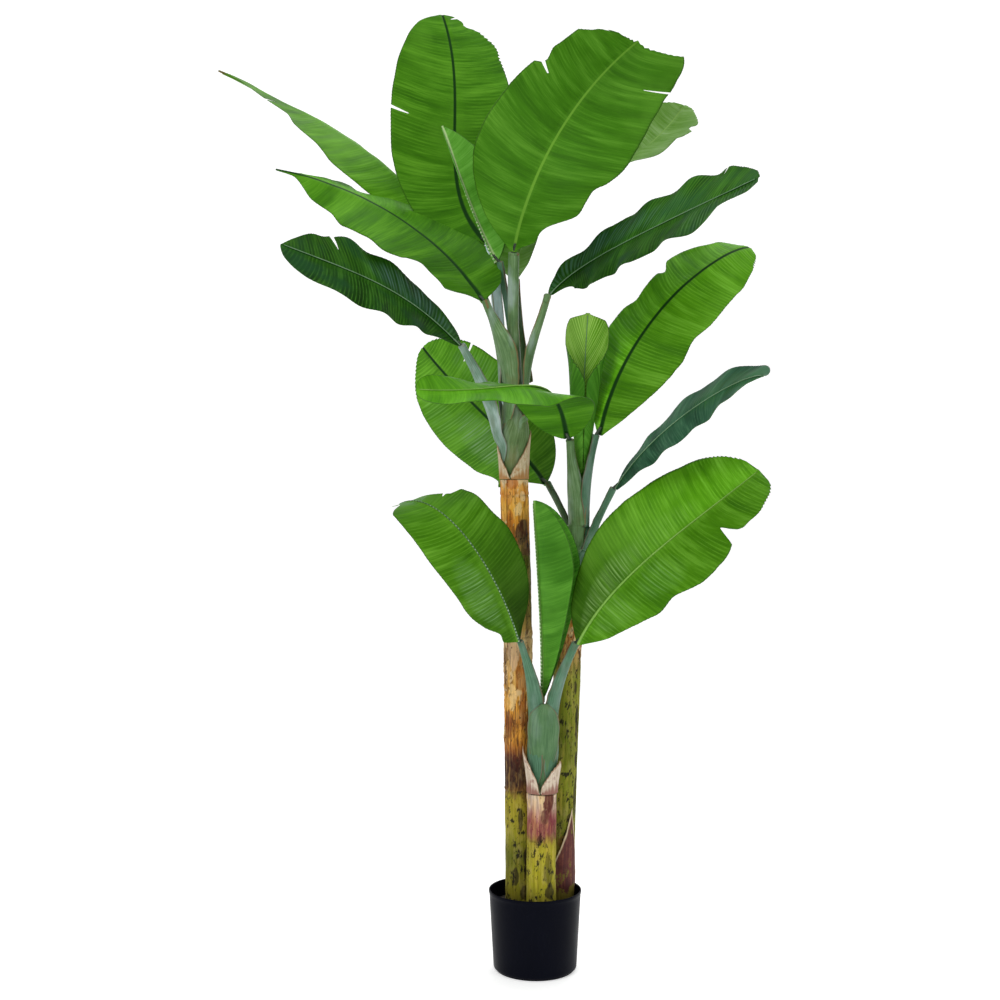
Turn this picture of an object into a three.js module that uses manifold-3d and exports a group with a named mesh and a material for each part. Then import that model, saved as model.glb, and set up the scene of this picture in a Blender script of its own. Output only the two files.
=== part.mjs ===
// Artificial banana plant: three leafy stems set in one plain nursery pot.
// Units are millimetres, +Z is up, the origin is the centre of the pot's flat underside,
// +X is to the right and +Y goes to the back. Each sub-part is one closed solid.
import * as THREE from 'three';
import { mergeVertices } from 'three/addons/utils/BufferGeometryUtils.js';
import Module from 'manifold-3d';

const wasm = await Module();
wasm.setup();

// ---------------------------------------------------------------- driving sizes
const POT_HEIGHT = 153;          // underside to rim
const POT_RIM_R = 89;            // outer radius at the rim
const POT_BASE_R = 79.5;         // outer radius just above the foot
const POT_FOOT_R = 76;           // radius of the flat foot disc
const POT_FOOT_H = 4;
const POT_WALL = 2;
const POT_FLOOR = 6;
const FILL_TOP = 123;            // the cast filling ends 30 mm below the rim
const POT_SIDES = 24;
const GAP = 0.35;                // clearance left between touching solids
const BLADE = 1.8;               // thickness of a leaf blade in these solids
const STALK_SIDES = 7;
const STALK_STEPS = 6;
const STEM_SIDES = 14;

// Stem centre lines, bottom to top: [x, y, z, radius]
const STEMS = {
  tall: [[-28, 10, FILL_TOP + 3.5, 29], [-29.5, 10, 260, 28], [-32.6, 10, 620, 27.5], [-37, 10, 830, 27.5], [-40.5, 10, 940, 26.5]],
  middle: [[44, 22, FILL_TOP + 3.5, 28.5], [48.5, 22, 190, 27.5], [53.5, 22, 320, 27], [64.7, 22, 620, 26.5], [77, 22, 764, 25]],
  short: [[10.5, -37, FILL_TOP + 3.5, 28.5], [10.5, -37, 200, 27.5], [12, -37, 345, 27.5]],
};
// Sheathed crowns above the bark: [x, y, z, radius]
const CROWNS = {
  tall: [[-40.5, 10, 940.5, 22], [-40.5, 10, 1030, 27], [-41, 10, 1090, 24], [-42, 10, 1150, 15], [-42, 12, 1176, 9]],
  middle: [[77.1, 22, 764.5, 21], [84, 22, 840, 23], [88.5, 23, 880, 20], [91, 25, 906, 13]],
  short: [[12, -37, 345.5, 23], [14, -38, 420, 29], [14.5, -39, 465, 27], [14.5, -41, 500, 18]],
};
// Dry bark flaps round the top of each stem: centre, radius, angle range (degrees, 0 = +X, 270 = front),
// bottom, then height of the top edge at start, tip and end, with the tip's place between them
const FLAPS = [
  { name: 'tall_bark_flap_left', c: [-40.5, 10], r: [27.2, 31.5], a: [96, 252], z0: 941, tops: [975, 1008, 948], tip: 0.62 },
  { name: 'tall_bark_flap_right', c: [-40.5, 10], r: [27.2, 32], a: [258, 444], z0: 941, tops: [948, 1034, 975], tip: 0.50 },
  { name: 'middle_bark_flap', c: [79, 22], r: [25.8, 27.5], a: [150, 262], z0: 766, tops: [772, 790, 768], tip: 0.55 },
  { name: 'short_bark_flap_left', c: [13, -37], r: [28.3, 33.5], a: [95, 258], z0: 347, tops: [372, 432, 353], tip: 0.55 },
  { name: 'short_bark_flap_right', c: [13, -37], r: [28.3, 33.5], a: [264, 440], z0: 347, tops: [353, 398, 372], tip: 0.42 },
  { name: 'middle_bark_wrap', c: [46.5, 22], r: [28.6, 31.5], a: [205, 380], z0: 128, tops: [170, 306, 150], tip: 0.66, flare: [28.9, 30.5] },
];

// Leaf stalks: Bezier from the crown to just below the blade, radius at each end
const STALKS = [
  { name: 'tall_stalk_1', path: [[-66, 34, 1118], [-72, 62, 1250], [-110, 92, 1340], [-183.5, 108, 1426]], r: [11, 6.5] },
  { name: 'tall_stalk_2', path: [[-46, 38, 1128], [-60, 48, 1230], [-78, 58, 1330], [-93, 66, 1405]], r: [11, 6.5] },
  { name: 'tall_stalk_3', path: [[-42, -6, 1150], [-42, -12, 1230], [-42, -26, 1300], [-41.1, -37.3, 1369]], r: [13, 8] },
  { name: 'tall_stalk_4', path: [[-22, 34, 1128], [-26, 48, 1200], [-36, 62, 1270], [-38.3, 69.3, 1335]], r: [10, 6.5] },
  { name: 'tall_stalk_5', path: [[-46, 13, 1178], [-52, 15, 1240], [-62, 18, 1300], [-72.3, 20, 1360]], r: [8, 6] },
  { name: 'tall_stalk_6', path: [[-62, -14, 1052], [-62, -22, 1160], [-84, -30, 1220], [-100.2, -39, 1276]], r: [15, 7] },
  { name: 'tall_stalk_7', path: [[-72, -8, 1030], [-78, -20, 1090], [-112, -44, 1142], [-143.6, -58.6, 1189]], r: [13, 7] },
  { name: 'tall_stalk_8', path: [[-14, -12, 1060], [-8, -16, 1160], [14, -16, 1210], [29.2, -10.8, 1290]], r: [15, 7] },
  { name: 'middle_stalk_1', path: [[78, 46, 800], [66, 52, 850], [44, 56, 890], [22.4, 60.7, 930.7]], r: [11, 6.5] },
  { name: 'middle_stalk_2', path: [[72, 2, 850], [64, -2, 930], [64, -8, 960], [61.2, -11.2, 1015]], r: [12, 6.5] },
  { name: 'middle_stalk_4', path: [[102, 6, 850], [104, 4, 920], [112, 4, 970], [123.3, 5, 1023.5]], r: [12, 6.5] },
  { name: 'middle_stalk_5', path: [[112, 12, 800], [116, 6, 840], [136, -8, 880], [153.2, -18.8, 919.5]], r: [12, 6.5] },
  { name: 'short_stalk_1', path: [[-8, -56, 456], [-10, -62, 520], [-18, -70, 580], [-33.2, -74.5, 634]], r: [15, 7] },
  { name: 'short_stalk_3', path: [[40, -54, 456], [40, -60, 520], [58, -70, 580], [79.2, -74.6, 629.5]], r: [15, 7] },
];

// Leaves. rib: Bezier control points of the midrib from stalk to tip; face: [place, azimuth, elevation]
// of the upper side (azimuth 0 = front, 90 = right); twist: turn about the rib along the leaf;
// half: half width; fold and curl: [place, left, right] in degrees; form: [place of greatest width,
// powers of the base half, powers of the tip half] of the outline.
const LEAVES = [
  { name: 'tall_leaf_1', rib: [[-184, 108, 1431], [-252, 152, 1590], [-430, 204, 1690], [-638, 136, 1771]], face: [[0, -18, 80]], twist: 24, half: 108, fold: [[0, -18, -58], [0.5, -18, -12], [1, -18, 18]], curl: [[0, 0, 0]], form: [0.46, 2, 1.29, 2.2, 1.68] },
  { name: 'tall_leaf_2', rib: [[-93, 66, 1409], [-211, 134, 1532], [-120, 126, 1704], [-185, 160, 1893]], face: [[0, 17, 0]], twist: 30, half: 130, fold: [[0, 0, -4]], curl: [[0, 0, 0]], form: [0.55, 2, 1.67, 2.2, 2.16] },
  { name: 'tall_leaf_3', rib: [[-41, -38, 1372], [7, -114, 1627], [208, -107, 1771], [206, -256, 1719]], face: [[0, 143, 59]], twist: 41, half: 137, fold: [[0, -28, -15]], curl: [[0, 0, 0]], form: [0.36, 2, 1.12, 2.2, 2.69] },
  { name: 'tall_leaf_4', rib: [[-38, 70, 1338], [-22, 97, 1529], [184, 123, 1521], [304, 126, 1698]], face: [[0, -5, 69]], twist: 42, half: 115, fold: [[0, 13, 18]], curl: [[0, 0, 0]], form: [0.55, 2, 1.51, 2.2, 2.08] },
  { name: 'tall_leaf_5', rib: [[-73, 20, 1363], [-110, 18, 1434], [-141, 8, 1519], [-179, 5, 1623]], face: [[0, 78, 0]], twist: 0, half: 82, fold: [[0, 72, 58]], curl: [[0, 15, 15]], form: [0.45, 1.6, 1.3, 1.6, 1.15] },
  { name: 'tall_leaf_6', rib: [[-101, -40, 1279], [-151, 44, 1371], [-274, 24, 1500], [-500, 5, 1542]], face: [[0, 5, 52], [0.5, 18, 55], [1, 40, 34]], twist: 0, half: 115, fold: [[0, 23, 16], [1, -35, -34]], curl: [[0, 0, 0]], widths: [[0, 0], [0.05, 0.45], [0.15, 0.7], [0.3, 0.85], [0.5, 1.03], [0.7, 0.75], [0.82, 0.49], [0.9, 0.2], [0.95, 0.06], [1, 0.03]] },
  { name: 'tall_leaf_7', rib: [[-145, -60, 1191], [-251, -47, 1303], [-321, -178, 1305], [-458, -200, 1355]], face: [[0, 61, 36]], twist: 3, half: 106, fold: [[0, 3, 1]], curl: [[0, 0, 0]], form: [0.58, 2, 1.52, 2.2, 1.97] },
  { name: 'tall_leaf_8', rib: [[30, -10, 1293], [78, 67, 1363], [175, -119, 1382], [379, -277, 1455]], face: [[0, -43, 36]], twist: -14, half: 122, fold: [[0, -8, 14]], curl: [[0, 0, 0]], form: [0.66, 2, 1.29, 2.2, 1.85] },
  { name: 'middle_leaf_1', rib: [[21, 62, 933], [-19, 148, 1011], [-139, 145, 1098], [-228, 209, 1219]], face: [[0, -2, -4]], twist: -39, half: 104, fold: [[0, -2, 5]], curl: [[0, 0, 0]], form: [0.47, 2, 1.11, 2.2, 2.01] },
  { name: 'middle_leaf_2', rib: [[61, -12, 1018], [34, -158, 1162], [-22, -197, 1081], [-214, -249, 1092]], face: [[0, 180, 28], [0.27, 180, 66], [0.48, 0, 68], [0.7, -45, 72], [1, -23, 53]], twist: 0, half: 74, fold: [[0, -2, -2], [0.5, -18, -8], [1, -5, 31]], curl: [[0, 0, 0]], form: [0.32, 2, 1.5, 2.2, 2.7] },
  { name: 'middle_leaf_3', rib: [[94, 30, 917], [91, 32, 1038], [97, 40, 1155], [104, 34, 1266]], face: [[0, 0, 0]], twist: 0, half: 96, fold: [[0, 0, 0]], curl: [[0, 900, 900], [0.03, 786, 786], [0.1, 520, 520], [0.17, 393, 393], [0.33, 300, 300], [0.5, 208, 208], [0.6, 180, 180], [0.8, 130, 130], [1, 126, 126]], widths: [[0, 0.2], [0.03, 0.226], [0.1, 0.343], [0.17, 0.453], [0.33, 0.593], [0.5, 0.854], [0.6, 0.985], [0.68, 0.96], [0.75, 0.82], [0.82, 0.72], [0.9, 0.61], [0.96, 0.43], [0.99, 0.22], [1, 0]] },
  { name: 'middle_leaf_4', rib: [[124, 5, 1026], [168, -5, 1245], [336, -50, 1374], [423, 52, 1399]], face: [[0, -16, 24]], twist: 13, half: 92, fold: [[0, -24, -11]], curl: [[0, 0, 0]], form: [0.43, 2, 1.14, 2.2, 2.33] },
  { name: 'middle_leaf_5', rib: [[155, -20, 922], [223, -52, 1041], [374, -111, 1131], [393, -241, 1117]], face: [[0, -15, 45]], twist: 41, half: 88, fold: [[0, -21, 15]], curl: [[0, 0, 0]], form: [0.62, 2, 1.76, 2.2, 1.99] },
  { name: 'short_leaf_1', rib: [[-34, -75, 637], [-76, -163, 786], [-180, -162, 927], [-254, -69, 892]], face: [[0, 5, 51]], twist: 34, half: 98, fold: [[0, 1, 2]], curl: [[0, 0, 0]], form: [0.55, 2, 1.13, 2.2, 1.92] },
  { name: 'short_leaf_2', rib: [[14, -42, 518], [18, -46, 636], [4, -52, 778], [-3, -50, 900]], face: [[0, 80, 0]], twist: 0, half: 80, fold: [[0, 58, 64]], curl: [[0, 10, 25]], form: [0.66, 1.3, 1, 2, 1.7] },
  { name: 'short_leaf_3', rib: [[80, -75, 632], [135, -128, 757], [269, -127, 843], [408, -129, 954]], face: [[0, -29, 26]], twist: -32, half: 120, fold: [[0, 9, 12]], curl: [[0, 0, 0]], form: [0.57, 2, 1.17, 2.2, 2.73] },
];

const COLOURS = {
  pot: 0x141416, fill: 0x3a2f27, stem: 0x7a5a34, flap: 0xcbb995, crown: 0x8ea573,
  stalk: 0x7f9b62, leaf: 0x3f8a1c, leafDark: 0x1f5a3c, leafPale: 0x8fb455,
};
const DARK = new Set(['tall_leaf_7', 'tall_leaf_8', 'middle_leaf_5', 'short_leaf_1']);
const PALE = new Set(['tall_leaf_4', 'tall_leaf_5']);
const ROUGH = { pot: 0.35, fill: 0.95, stem: 0.85, flap: 0.8, crown: 0.55, stalk: 0.5, leaf: 0.45, leafDark: 0.35, leafPale: 0.45 };

// ---------------------------------------------------------------- small helpers
const rad = (d) => (d * Math.PI) / 180;
const V = (a) => new THREE.Vector3(a[0], a[1], a[2]);
const clamp = (x, a, b) => Math.min(b, Math.max(a, x));

// value at x of a table of rows [x, a, b, ...], straight between the rows
function lerpTable(rows, x, col) {
  if (rows.length === 1 || x <= rows[0][0]) return rows[0][col];
  for (let i = 1; i < rows.length; i++) {
    if (x <= rows[i][0]) {
      const f = (x - rows[i - 1][0]) / (rows[i][0] - rows[i - 1][0]);
      return rows[i - 1][col] * (1 - f) + rows[i][col] * f;
    }
  }
  return rows[rows.length - 1][col];
}

// Turn a stock geometry into a solid by moving its vertices with f(x, y, z) -> Vector3
function shaped(geometry, f) {
  const g = geometry.clone();
  const p = g.attributes.position;
  for (let i = 0; i < p.count; i++) {
    const q = f(p.getX(i), p.getY(i), p.getZ(i));
    p.setXYZ(i, q.x, q.y, q.z);
  }
  return g;
}

// Unit slab of nu by nv cells. Both skins are split along the same diagonals, so a thin blade
// keeps its thickness however its cells are twisted.
function slab(nu, nv) {
  const pos = [], idx = [], n = (nu + 1) * (nv + 1);
  for (const z of [0.5, -0.5]) {
    for (let i = 0; i <= nu; i++) for (let j = 0; j <= nv; j++) pos.push(i / nu - 0.5, j / nv - 0.5, z);
  }
  const id = (i, j) => i * (nv + 1) + j;
  const quad = (a, b, c, d) => idx.push(a, b, c, a, c, d);
  for (let i = 0; i < nu; i++) {
    for (let j = 0; j < nv; j++) {
      const [a, b, c, d] = [id(i, j), id(i + 1, j), id(i + 1, j + 1), id(i, j + 1)];
      quad(a, b, c, d);
      idx.push(a + n, c + n, b + n, a + n, d + n, c + n);
    }
    quad(id(i, 0) + n, id(i + 1, 0) + n, id(i + 1, 0), id(i, 0));
    quad(id(i + 1, nv) + n, id(i, nv) + n, id(i, nv), id(i + 1, nv));
  }
  for (let j = 0; j < nv; j++) {
    quad(id(0, j + 1) + n, id(0, j) + n, id(0, j), id(0, j + 1));
    quad(id(nu, j) + n, id(nu, j + 1) + n, id(nu, j + 1), id(nu, j));
  }
  const g = new THREE.BufferGeometry();
  g.setAttribute('position', new THREE.Float32BufferAttribute(pos, 3));
  g.setIndex(idx);
  return g;
}

function toManifold(geometry) {
  let g = geometry.clone();
  g.deleteAttribute('normal');
  g.deleteAttribute('uv');
  if (!g.index) g = mergeVertices(g, 1e-4); else g = mergeVertices(g.toNonIndexed(), 1e-4);
  const idx = Array.from(g.index.array);
  const pos = g.attributes.position.array;
  const tris = [];
  for (let i = 0; i < idx.length; i += 3) {
    const [a, b, c] = [idx[i], idx[i + 1], idx[i + 2]];
    if (a !== b && b !== c && c !== a) tris.push(a, b, c);
  }
  // turn the faces outward
  let vol = 0;
  for (let i = 0; i < tris.length; i += 3) {
    const [a, b, c] = [tris[i] * 3, tris[i + 1] * 3, tris[i + 2] * 3];
    vol += pos[a] * (pos[b + 1] * pos[c + 2] - pos[b + 2] * pos[c + 1])
      - pos[a + 1] * (pos[b] * pos[c + 2] - pos[b + 2] * pos[c])
      + pos[a + 2] * (pos[b] * pos[c + 1] - pos[b + 1] * pos[c]);
  }
  if (vol < 0) for (let i = 0; i < tris.length; i += 3) [tris[i + 1], tris[i + 2]] = [tris[i + 2], tris[i + 1]];
  return new wasm.Manifold(new wasm.Mesh({ numProp: 3, vertProperties: new Float32Array(pos), triVerts: new Uint32Array(tris) }));
}

// the largest connected piece of a manifold, as a BufferGeometry
function toGeometry(man) {
  const m = man.getMesh();
  const n = m.vertProperties.length / m.numProp;
  const P = new Float32Array(n * 3);
  for (let i = 0; i < n; i++) for (let k = 0; k < 3; k++) P[i * 3 + k] = m.vertProperties[i * m.numProp + k];
  let g = new THREE.BufferGeometry();
  g.setAttribute('position', new THREE.BufferAttribute(P, 3));
  g.setIndex(Array.from(m.triVerts));
  g = mergeVertices(g, 1e-5);
  const idx = g.index.array;
  const parent = Array.from({ length: g.attributes.position.count }, (_, i) => i);
  const find = (i) => { while (parent[i] !== i) { parent[i] = parent[parent[i]]; i = parent[i]; } return i; };
  for (let i = 0; i < idx.length; i += 3) {
    parent[find(idx[i])] = find(idx[i + 1]);
    parent[find(idx[i + 1])] = find(idx[i + 2]);
  }
  const area = new Map();
  const [a, b, c] = [new THREE.Vector3(), new THREE.Vector3(), new THREE.Vector3()];
  for (let i = 0; i < idx.length; i += 3) {
    a.fromBufferAttribute(g.attributes.position, idx[i]);
    b.fromBufferAttribute(g.attributes.position, idx[i + 1]).sub(a);
    c.fromBufferAttribute(g.attributes.position, idx[i + 2]).sub(a);
    const r = find(idx[i]);
    area.set(r, (area.get(r) || 0) + b.cross(c).length());
  }
  const best = [...area.entries()].sort((x, y) => y[1] - x[1])[0][0];
  const keep = [];
  for (let i = 0; i < idx.length; i += 3) if (find(idx[i]) === best) keep.push(idx[i], idx[i + 1], idx[i + 2]);
  g.setIndex(keep);
  g.computeVertexNormals();
  return g;
}

// ---------------------------------------------------------------- limbs
// a tapering limb through rows [x, y, z, radius]; level sections, flat ends
function limb(rows, sides, grow = 0, steps = 2) {
  const pts = rows.map((r) => V(r));
  const curve = new THREE.CatmullRomCurve3(pts, false, 'centripetal');
  const n = (rows.length - 1) * steps;
  const g = new THREE.CylinderGeometry(1, 1, 1, sides, n, false);
  return shaped(g, (x, y, z) => {
    const t = clamp(y + 0.5, 0, 1);
    const c = curve.getPoint(t);
    const i = Math.min(rows.length - 2, Math.floor(t * (rows.length - 1)));
    const f = t * (rows.length - 1) - i;
    const r = rows[i][3] * (1 - f) + rows[i + 1][3] * f + grow;
    const dz = grow * (t === 0 ? -1 : t === 1 ? 1 : 0);
    return new THREE.Vector3(c.x + x * r, c.y - z * r, c.z + dz);
  });
}

// a tapering stalk swept along a Bezier curve
function stalk(s, grow = 0) {
  const curve = new THREE.CubicBezierCurve3(...s.path.map(V));
  const g = new THREE.CylinderGeometry(1, 1, 1, STALK_SIDES, STALK_STEPS, false);
  const up = new THREE.Vector3(0, -1, 0);
  return shaped(g, (x, y, z) => {
    const t = clamp(y + 0.5, 0, 1);
    const c = curve.getPointAt(t);
    const T = curve.getTangentAt(t).normalize();
    const N = up.clone().addScaledVector(T, -up.dot(T)).normalize();
    const S = new THREE.Vector3().crossVectors(T, N);
    const r = s.r[0] + (s.r[1] - s.r[0]) * Math.pow(t, 0.7) + grow;
    return c.addScaledVector(S, x * r).addScaledVector(N, z * r).addScaledVector(T, grow * (t === 0 ? -1 : t === 1 ? 1 : 0));
  });
}

// a bark flap: a thin curved blade round a stem, its top edge rising to one tip
function flap(s, grow = 0) {
  const g = new THREE.BoxGeometry(1, 1, 1, 8, 2, 1);
  const th = 1.6 + 2 * grow;
  return shaped(g, (x, y, z) => {
    const u = x + 0.5, v = y + 0.5;
    const a = rad(s.a[0] + (s.a[1] - s.a[0]) * u);
    const k = u < s.tip ? u / s.tip : (1 - u) / (1 - s.tip);
    const side = u < s.tip ? s.tops[0] : s.tops[2];
    const top = side + (s.tops[1] - side) * Math.pow(k, 1.5);
    const h = s.z0 - grow + (top + grow - s.z0 + grow) * v;
    const r = s.r[0] + (s.r[1] - s.r[0]) * v + 0.8 + z * th;
    return new THREE.Vector3(s.c[0] + r * Math.cos(a), s.c[1] + r * Math.sin(a), h);
  });
}

// ---------------------------------------------------------------- leaves
class Leaf {
  constructor(s) {
    this.s = s;
    this.curve = new THREE.CubicBezierCurve3(...s.rib.map(V));
    this.curve.arcLengthDivisions = 200;
    this.length = this.curve.getLength();
  }
  // half width at u, 0 at the stalk and 1 at the tip
  width(u) {
    const s = this.s;
    if (s.widths) return s.half * Math.max(0, lerpTable(s.widths, u, 1));
    const [m, p1, q1, p2, q2] = s.form;
    if (u < m) return s.half * Math.pow(Math.max(0, 1 - Math.pow((m - u) / m, p1)), 1 / q1);
    return s.half * Math.pow(Math.max(0, 1 - Math.pow((u - m) / (1 - m), p2)), 1 / q2);
  }
  frame(u) {
    const s = this.s, t = clamp(u, 0, 1);
    const M = this.curve.getPointAt(t), T = this.curve.getTangentAt(t).normalize();
    M.addScaledVector(T, (u - t) * this.length);
    const F = new THREE.Vector3();
    const dir = (az, el) => new THREE.Vector3(Math.sin(rad(az)) * Math.cos(rad(el)), -Math.cos(rad(az)) * Math.cos(rad(el)), Math.sin(rad(el)));
    const rows = s.face.map((r) => { const d = dir(r[1], r[2]); return [r[0], d.x, d.y, d.z]; });
    F.set(lerpTable(rows, t, 1), lerpTable(rows, t, 2), lerpTable(rows, t, 3)).normalize();
    const N = F.clone().addScaledVector(T, -F.dot(T)).normalize();
    const S = new THREE.Vector3().crossVectors(T, N);
    const a = rad(s.twist) * (u - 0.5), c = Math.cos(a), n = Math.sin(a);
    return { M, T, N: N.clone().multiplyScalar(c).addScaledVector(S, n), S: S.clone().multiplyScalar(c).addScaledVector(N, -n) };
  }
  // point of the blade at u along the rib and y across it, h above the blade's middle surface
  point(u, y, h) {
    const s = this.s, f = this.frame(u), t = clamp(u, 0, 1);
    const col = y >= 0 ? 2 : 1, sg = y >= 0 ? 1 : -1, d = Math.abs(y);
    const f0 = rad(lerpTable(s.fold, t, col));
    let k = rad(lerpTable(s.curl, t, col)) / s.half;
    if (Math.abs(k) < 1e-6) k = 1e-6;
    const X = (Math.sin(f0 + k * d) - Math.sin(f0)) / k, Z = (Math.cos(f0) - Math.cos(f0 + k * d)) / k;
    const a = d < 1e-9 ? 0 : f0 + k * d;
    return f.M.addScaledVector(f.S, sg * (X - h * Math.sin(a))).addScaledVector(f.N, Z + h * Math.cos(a));
  }
  solid(grow = 0) {
    const rolled = !!this.s.widths;
    const nu = 10, nv = rolled ? 12 : 6;
    const g = slab(nu, nv);
    return shaped(g, (x, y, z) => {
      const u = 0.5 - 0.5 * Math.cos(Math.PI * (x + 0.5)) * (1 - 0.25) - 0.25 * (-x);
      const w = Math.max(this.width(clamp(u, 0, 1)), 5) + grow;
      const du = grow / this.length * (x <= -0.5 ? -1 : x >= 0.5 ? 1 : 0);
      return this.point(clamp(u, 0, 1) + du, y * 2 * w, z * (BLADE + 2 * grow));
    });
  }
}

// ---------------------------------------------------------------- pot
function lathe(profile) {
  const g = new THREE.LatheGeometry(profile.map(([r, z]) => new THREE.Vector2(r, z)), POT_SIDES);
  g.rotateX(Math.PI / 2);
  return g;
}
const innerR = (z) => POT_BASE_R - POT_WALL + (POT_RIM_R - POT_BASE_R) * (z - POT_FOOT_H) / (POT_HEIGHT - POT_FOOT_H);
const potGeometry = lathe([
  [0, 0], [POT_FOOT_R, 0], [POT_FOOT_R, POT_FOOT_H], [POT_BASE_R, POT_FOOT_H],
  [POT_RIM_R, POT_HEIGHT], [POT_RIM_R - POT_WALL, POT_HEIGHT], [innerR(POT_FLOOR), POT_FLOOR], [0, POT_FLOOR],
]);
const fillGeometry = lathe([
  [0, POT_FLOOR + GAP], [innerR(POT_FLOOR) - 0.6, POT_FLOOR + GAP], [innerR(FILL_TOP) - 0.9, FILL_TOP],
  [innerR(FILL_TOP) - 18, FILL_TOP + 3], [0, FILL_TOP + 3],
]);

// ---------------------------------------------------------------- assembly
// Solids in order of rank: each one is cut back by the ones before it that it meets.
const plan = [];
plan.push({ name: 'pot', kind: 'pot', make: () => potGeometry });
plan.push({ name: 'pot_fill', kind: 'fill', make: () => fillGeometry });
for (const k of Object.keys(STEMS)) plan.push({ name: `${k}_stem`, kind: 'stem', make: (g) => limb(STEMS[k], STEM_SIDES, g) });
for (const k of Object.keys(CROWNS)) plan.push({ name: `${k}_crown`, kind: 'crown', make: (g) => limb(CROWNS[k], 12, g) });
for (const s of FLAPS) plan.push({ name: s.name, kind: 'flap', make: (g) => flap(s, g) });
for (const s of STALKS) plan.push({ name: s.name, kind: 'stalk', make: (g) => stalk(s, g) });
for (const s of LEAVES) {
  const leaf = new Leaf(s);
  plan.push({ name: s.name, kind: DARK.has(s.name) ? 'leafDark' : PALE.has(s.name) ? 'leafPale' : 'leaf', make: (g) => leaf.solid(g) });
}

const group = new THREE.Group();
const done = [];
for (const item of plan) {
  const base = item.make(0);
  const box = new THREE.Box3().setFromBufferAttribute(base.attributes.position);
  let man = toManifold(base);
  let cut = false;
  if (item.kind !== 'pot') {
    for (const other of done) {
      if (other.kind === 'pot' || !box.intersectsBox(other.box)) continue;
      const before = man.volume();
      const next = man.subtract(other.grown());
      if (Math.abs(next.volume() - before) > 1e-3) { man = next; cut = true; }
    }
  }
  done.push({ kind: item.kind, name: item.name, box: box.clone().expandByScalar(1), grown() { return this.g || (this.g = toManifold(item.make(GAP))); } });
  const material = new THREE.MeshStandardMaterial({ color: COLOURS[item.kind], roughness: ROUGH[item.kind], metalness: 0 });
  const mesh = new THREE.Mesh(toGeometry(man), material);
  mesh.name = item.name;
  group.add(mesh);
}

export default group;
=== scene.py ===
import bpy, math
import numpy as np
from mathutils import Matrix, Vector


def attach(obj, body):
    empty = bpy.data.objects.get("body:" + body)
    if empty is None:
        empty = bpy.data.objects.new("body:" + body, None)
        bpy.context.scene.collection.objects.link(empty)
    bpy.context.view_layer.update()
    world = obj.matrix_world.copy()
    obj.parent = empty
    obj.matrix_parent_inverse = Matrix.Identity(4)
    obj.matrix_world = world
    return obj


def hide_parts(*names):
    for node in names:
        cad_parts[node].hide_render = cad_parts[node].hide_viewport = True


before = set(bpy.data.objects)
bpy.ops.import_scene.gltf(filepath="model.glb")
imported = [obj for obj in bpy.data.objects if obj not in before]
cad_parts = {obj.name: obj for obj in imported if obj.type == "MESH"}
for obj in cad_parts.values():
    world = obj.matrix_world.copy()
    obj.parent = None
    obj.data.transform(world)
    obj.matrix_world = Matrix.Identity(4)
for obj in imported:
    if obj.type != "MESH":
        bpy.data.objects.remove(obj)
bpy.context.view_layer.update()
MM = 0.001

# ------------------------------------------------------------------ camera
# Level camera at the eye height of the view, 49 mm lens on a 36 mm frame.
cam_data = bpy.data.cameras.new("camera")
cam_data.sensor_width = 36.0
cam_data.sensor_fit = "HORIZONTAL"
cam_data.lens = 1361.0 / 1000.0 * 36.0
cam_data.clip_start, cam_data.clip_end = 0.05, 60.0
cam = bpy.data.objects.new("camera", cam_data)
cam.location = (-0.0674, -2.622, 0.901)
cam.rotation_euler = (math.radians(90), 0, 0)
bpy.context.scene.collection.objects.link(cam)
bpy.context.scene.camera = cam


# ------------------------------------------------------------------ noise
def _hash(ix, iy, iz, seed):
    n = (ix.astype(np.int64) * 73856093) ^ (iy.astype(np.int64) * 19349663) ^ (iz.astype(np.int64) * 83492791) ^ (seed * 2654435761 + 977)
    n = n & 0xFFFFFFFF
    n = (n ^ (n >> 15)) * 2246822519 & 0xFFFFFFFF
    n = (n ^ (n >> 13)) * 3266489917 & 0xFFFFFFFF
    n = n ^ (n >> 16)
    return (n & 0xFFFFFF) / float(0xFFFFFF)


def noise(x, y, z=0.0, seed=0, wrap=0):
    """Value noise from -1 to 1. wrap, if given, is the whole number of cells after which x repeats."""
    x, y, z = np.broadcast_arrays(np.asarray(x, float), np.asarray(y, float), np.asarray(z, float))
    fx, fy, fz = np.floor(x), np.floor(y), np.floor(z)
    tx, ty, tz = x - fx, y - fy, z - fz
    tx, ty, tz = (t * t * t * (t * (t * 6 - 15) + 10) for t in (tx, ty, tz))
    out = 0
    for dx in (0, 1):
        for dy in (0, 1):
            for dz in (0, 1):
                ix = fx + dx
                if wrap:
                    ix = np.mod(ix, wrap)
                h = _hash(ix, fy + dy, fz + dz, seed)
                out = out + h * (tx if dx else 1 - tx) * (ty if dy else 1 - ty) * (tz if dz else 1 - tz)
    return out * 2 - 1


def fbm(x, y, z=0.0, seed=0, octaves=4, wrap=0, gain=0.5):
    out, a, s = 0, 1.0, 0.0
    for o in range(octaves):
        k = 2 ** o
        out = out + a * noise(np.asarray(x) * k, np.asarray(y) * k, np.asarray(z) * k, seed + 31 * o, wrap * k)
        s += a
        a *= gain
    return out / s


def step(x, a, b):
    t = np.clip((np.asarray(x, float) - a) / (b - a), 0, 1)
    return t * t * (3 - 2 * t)


def unit(v):
    return v / np.maximum(np.linalg.norm(v, axis=-1, keepdims=True), 1e-12)


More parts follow.
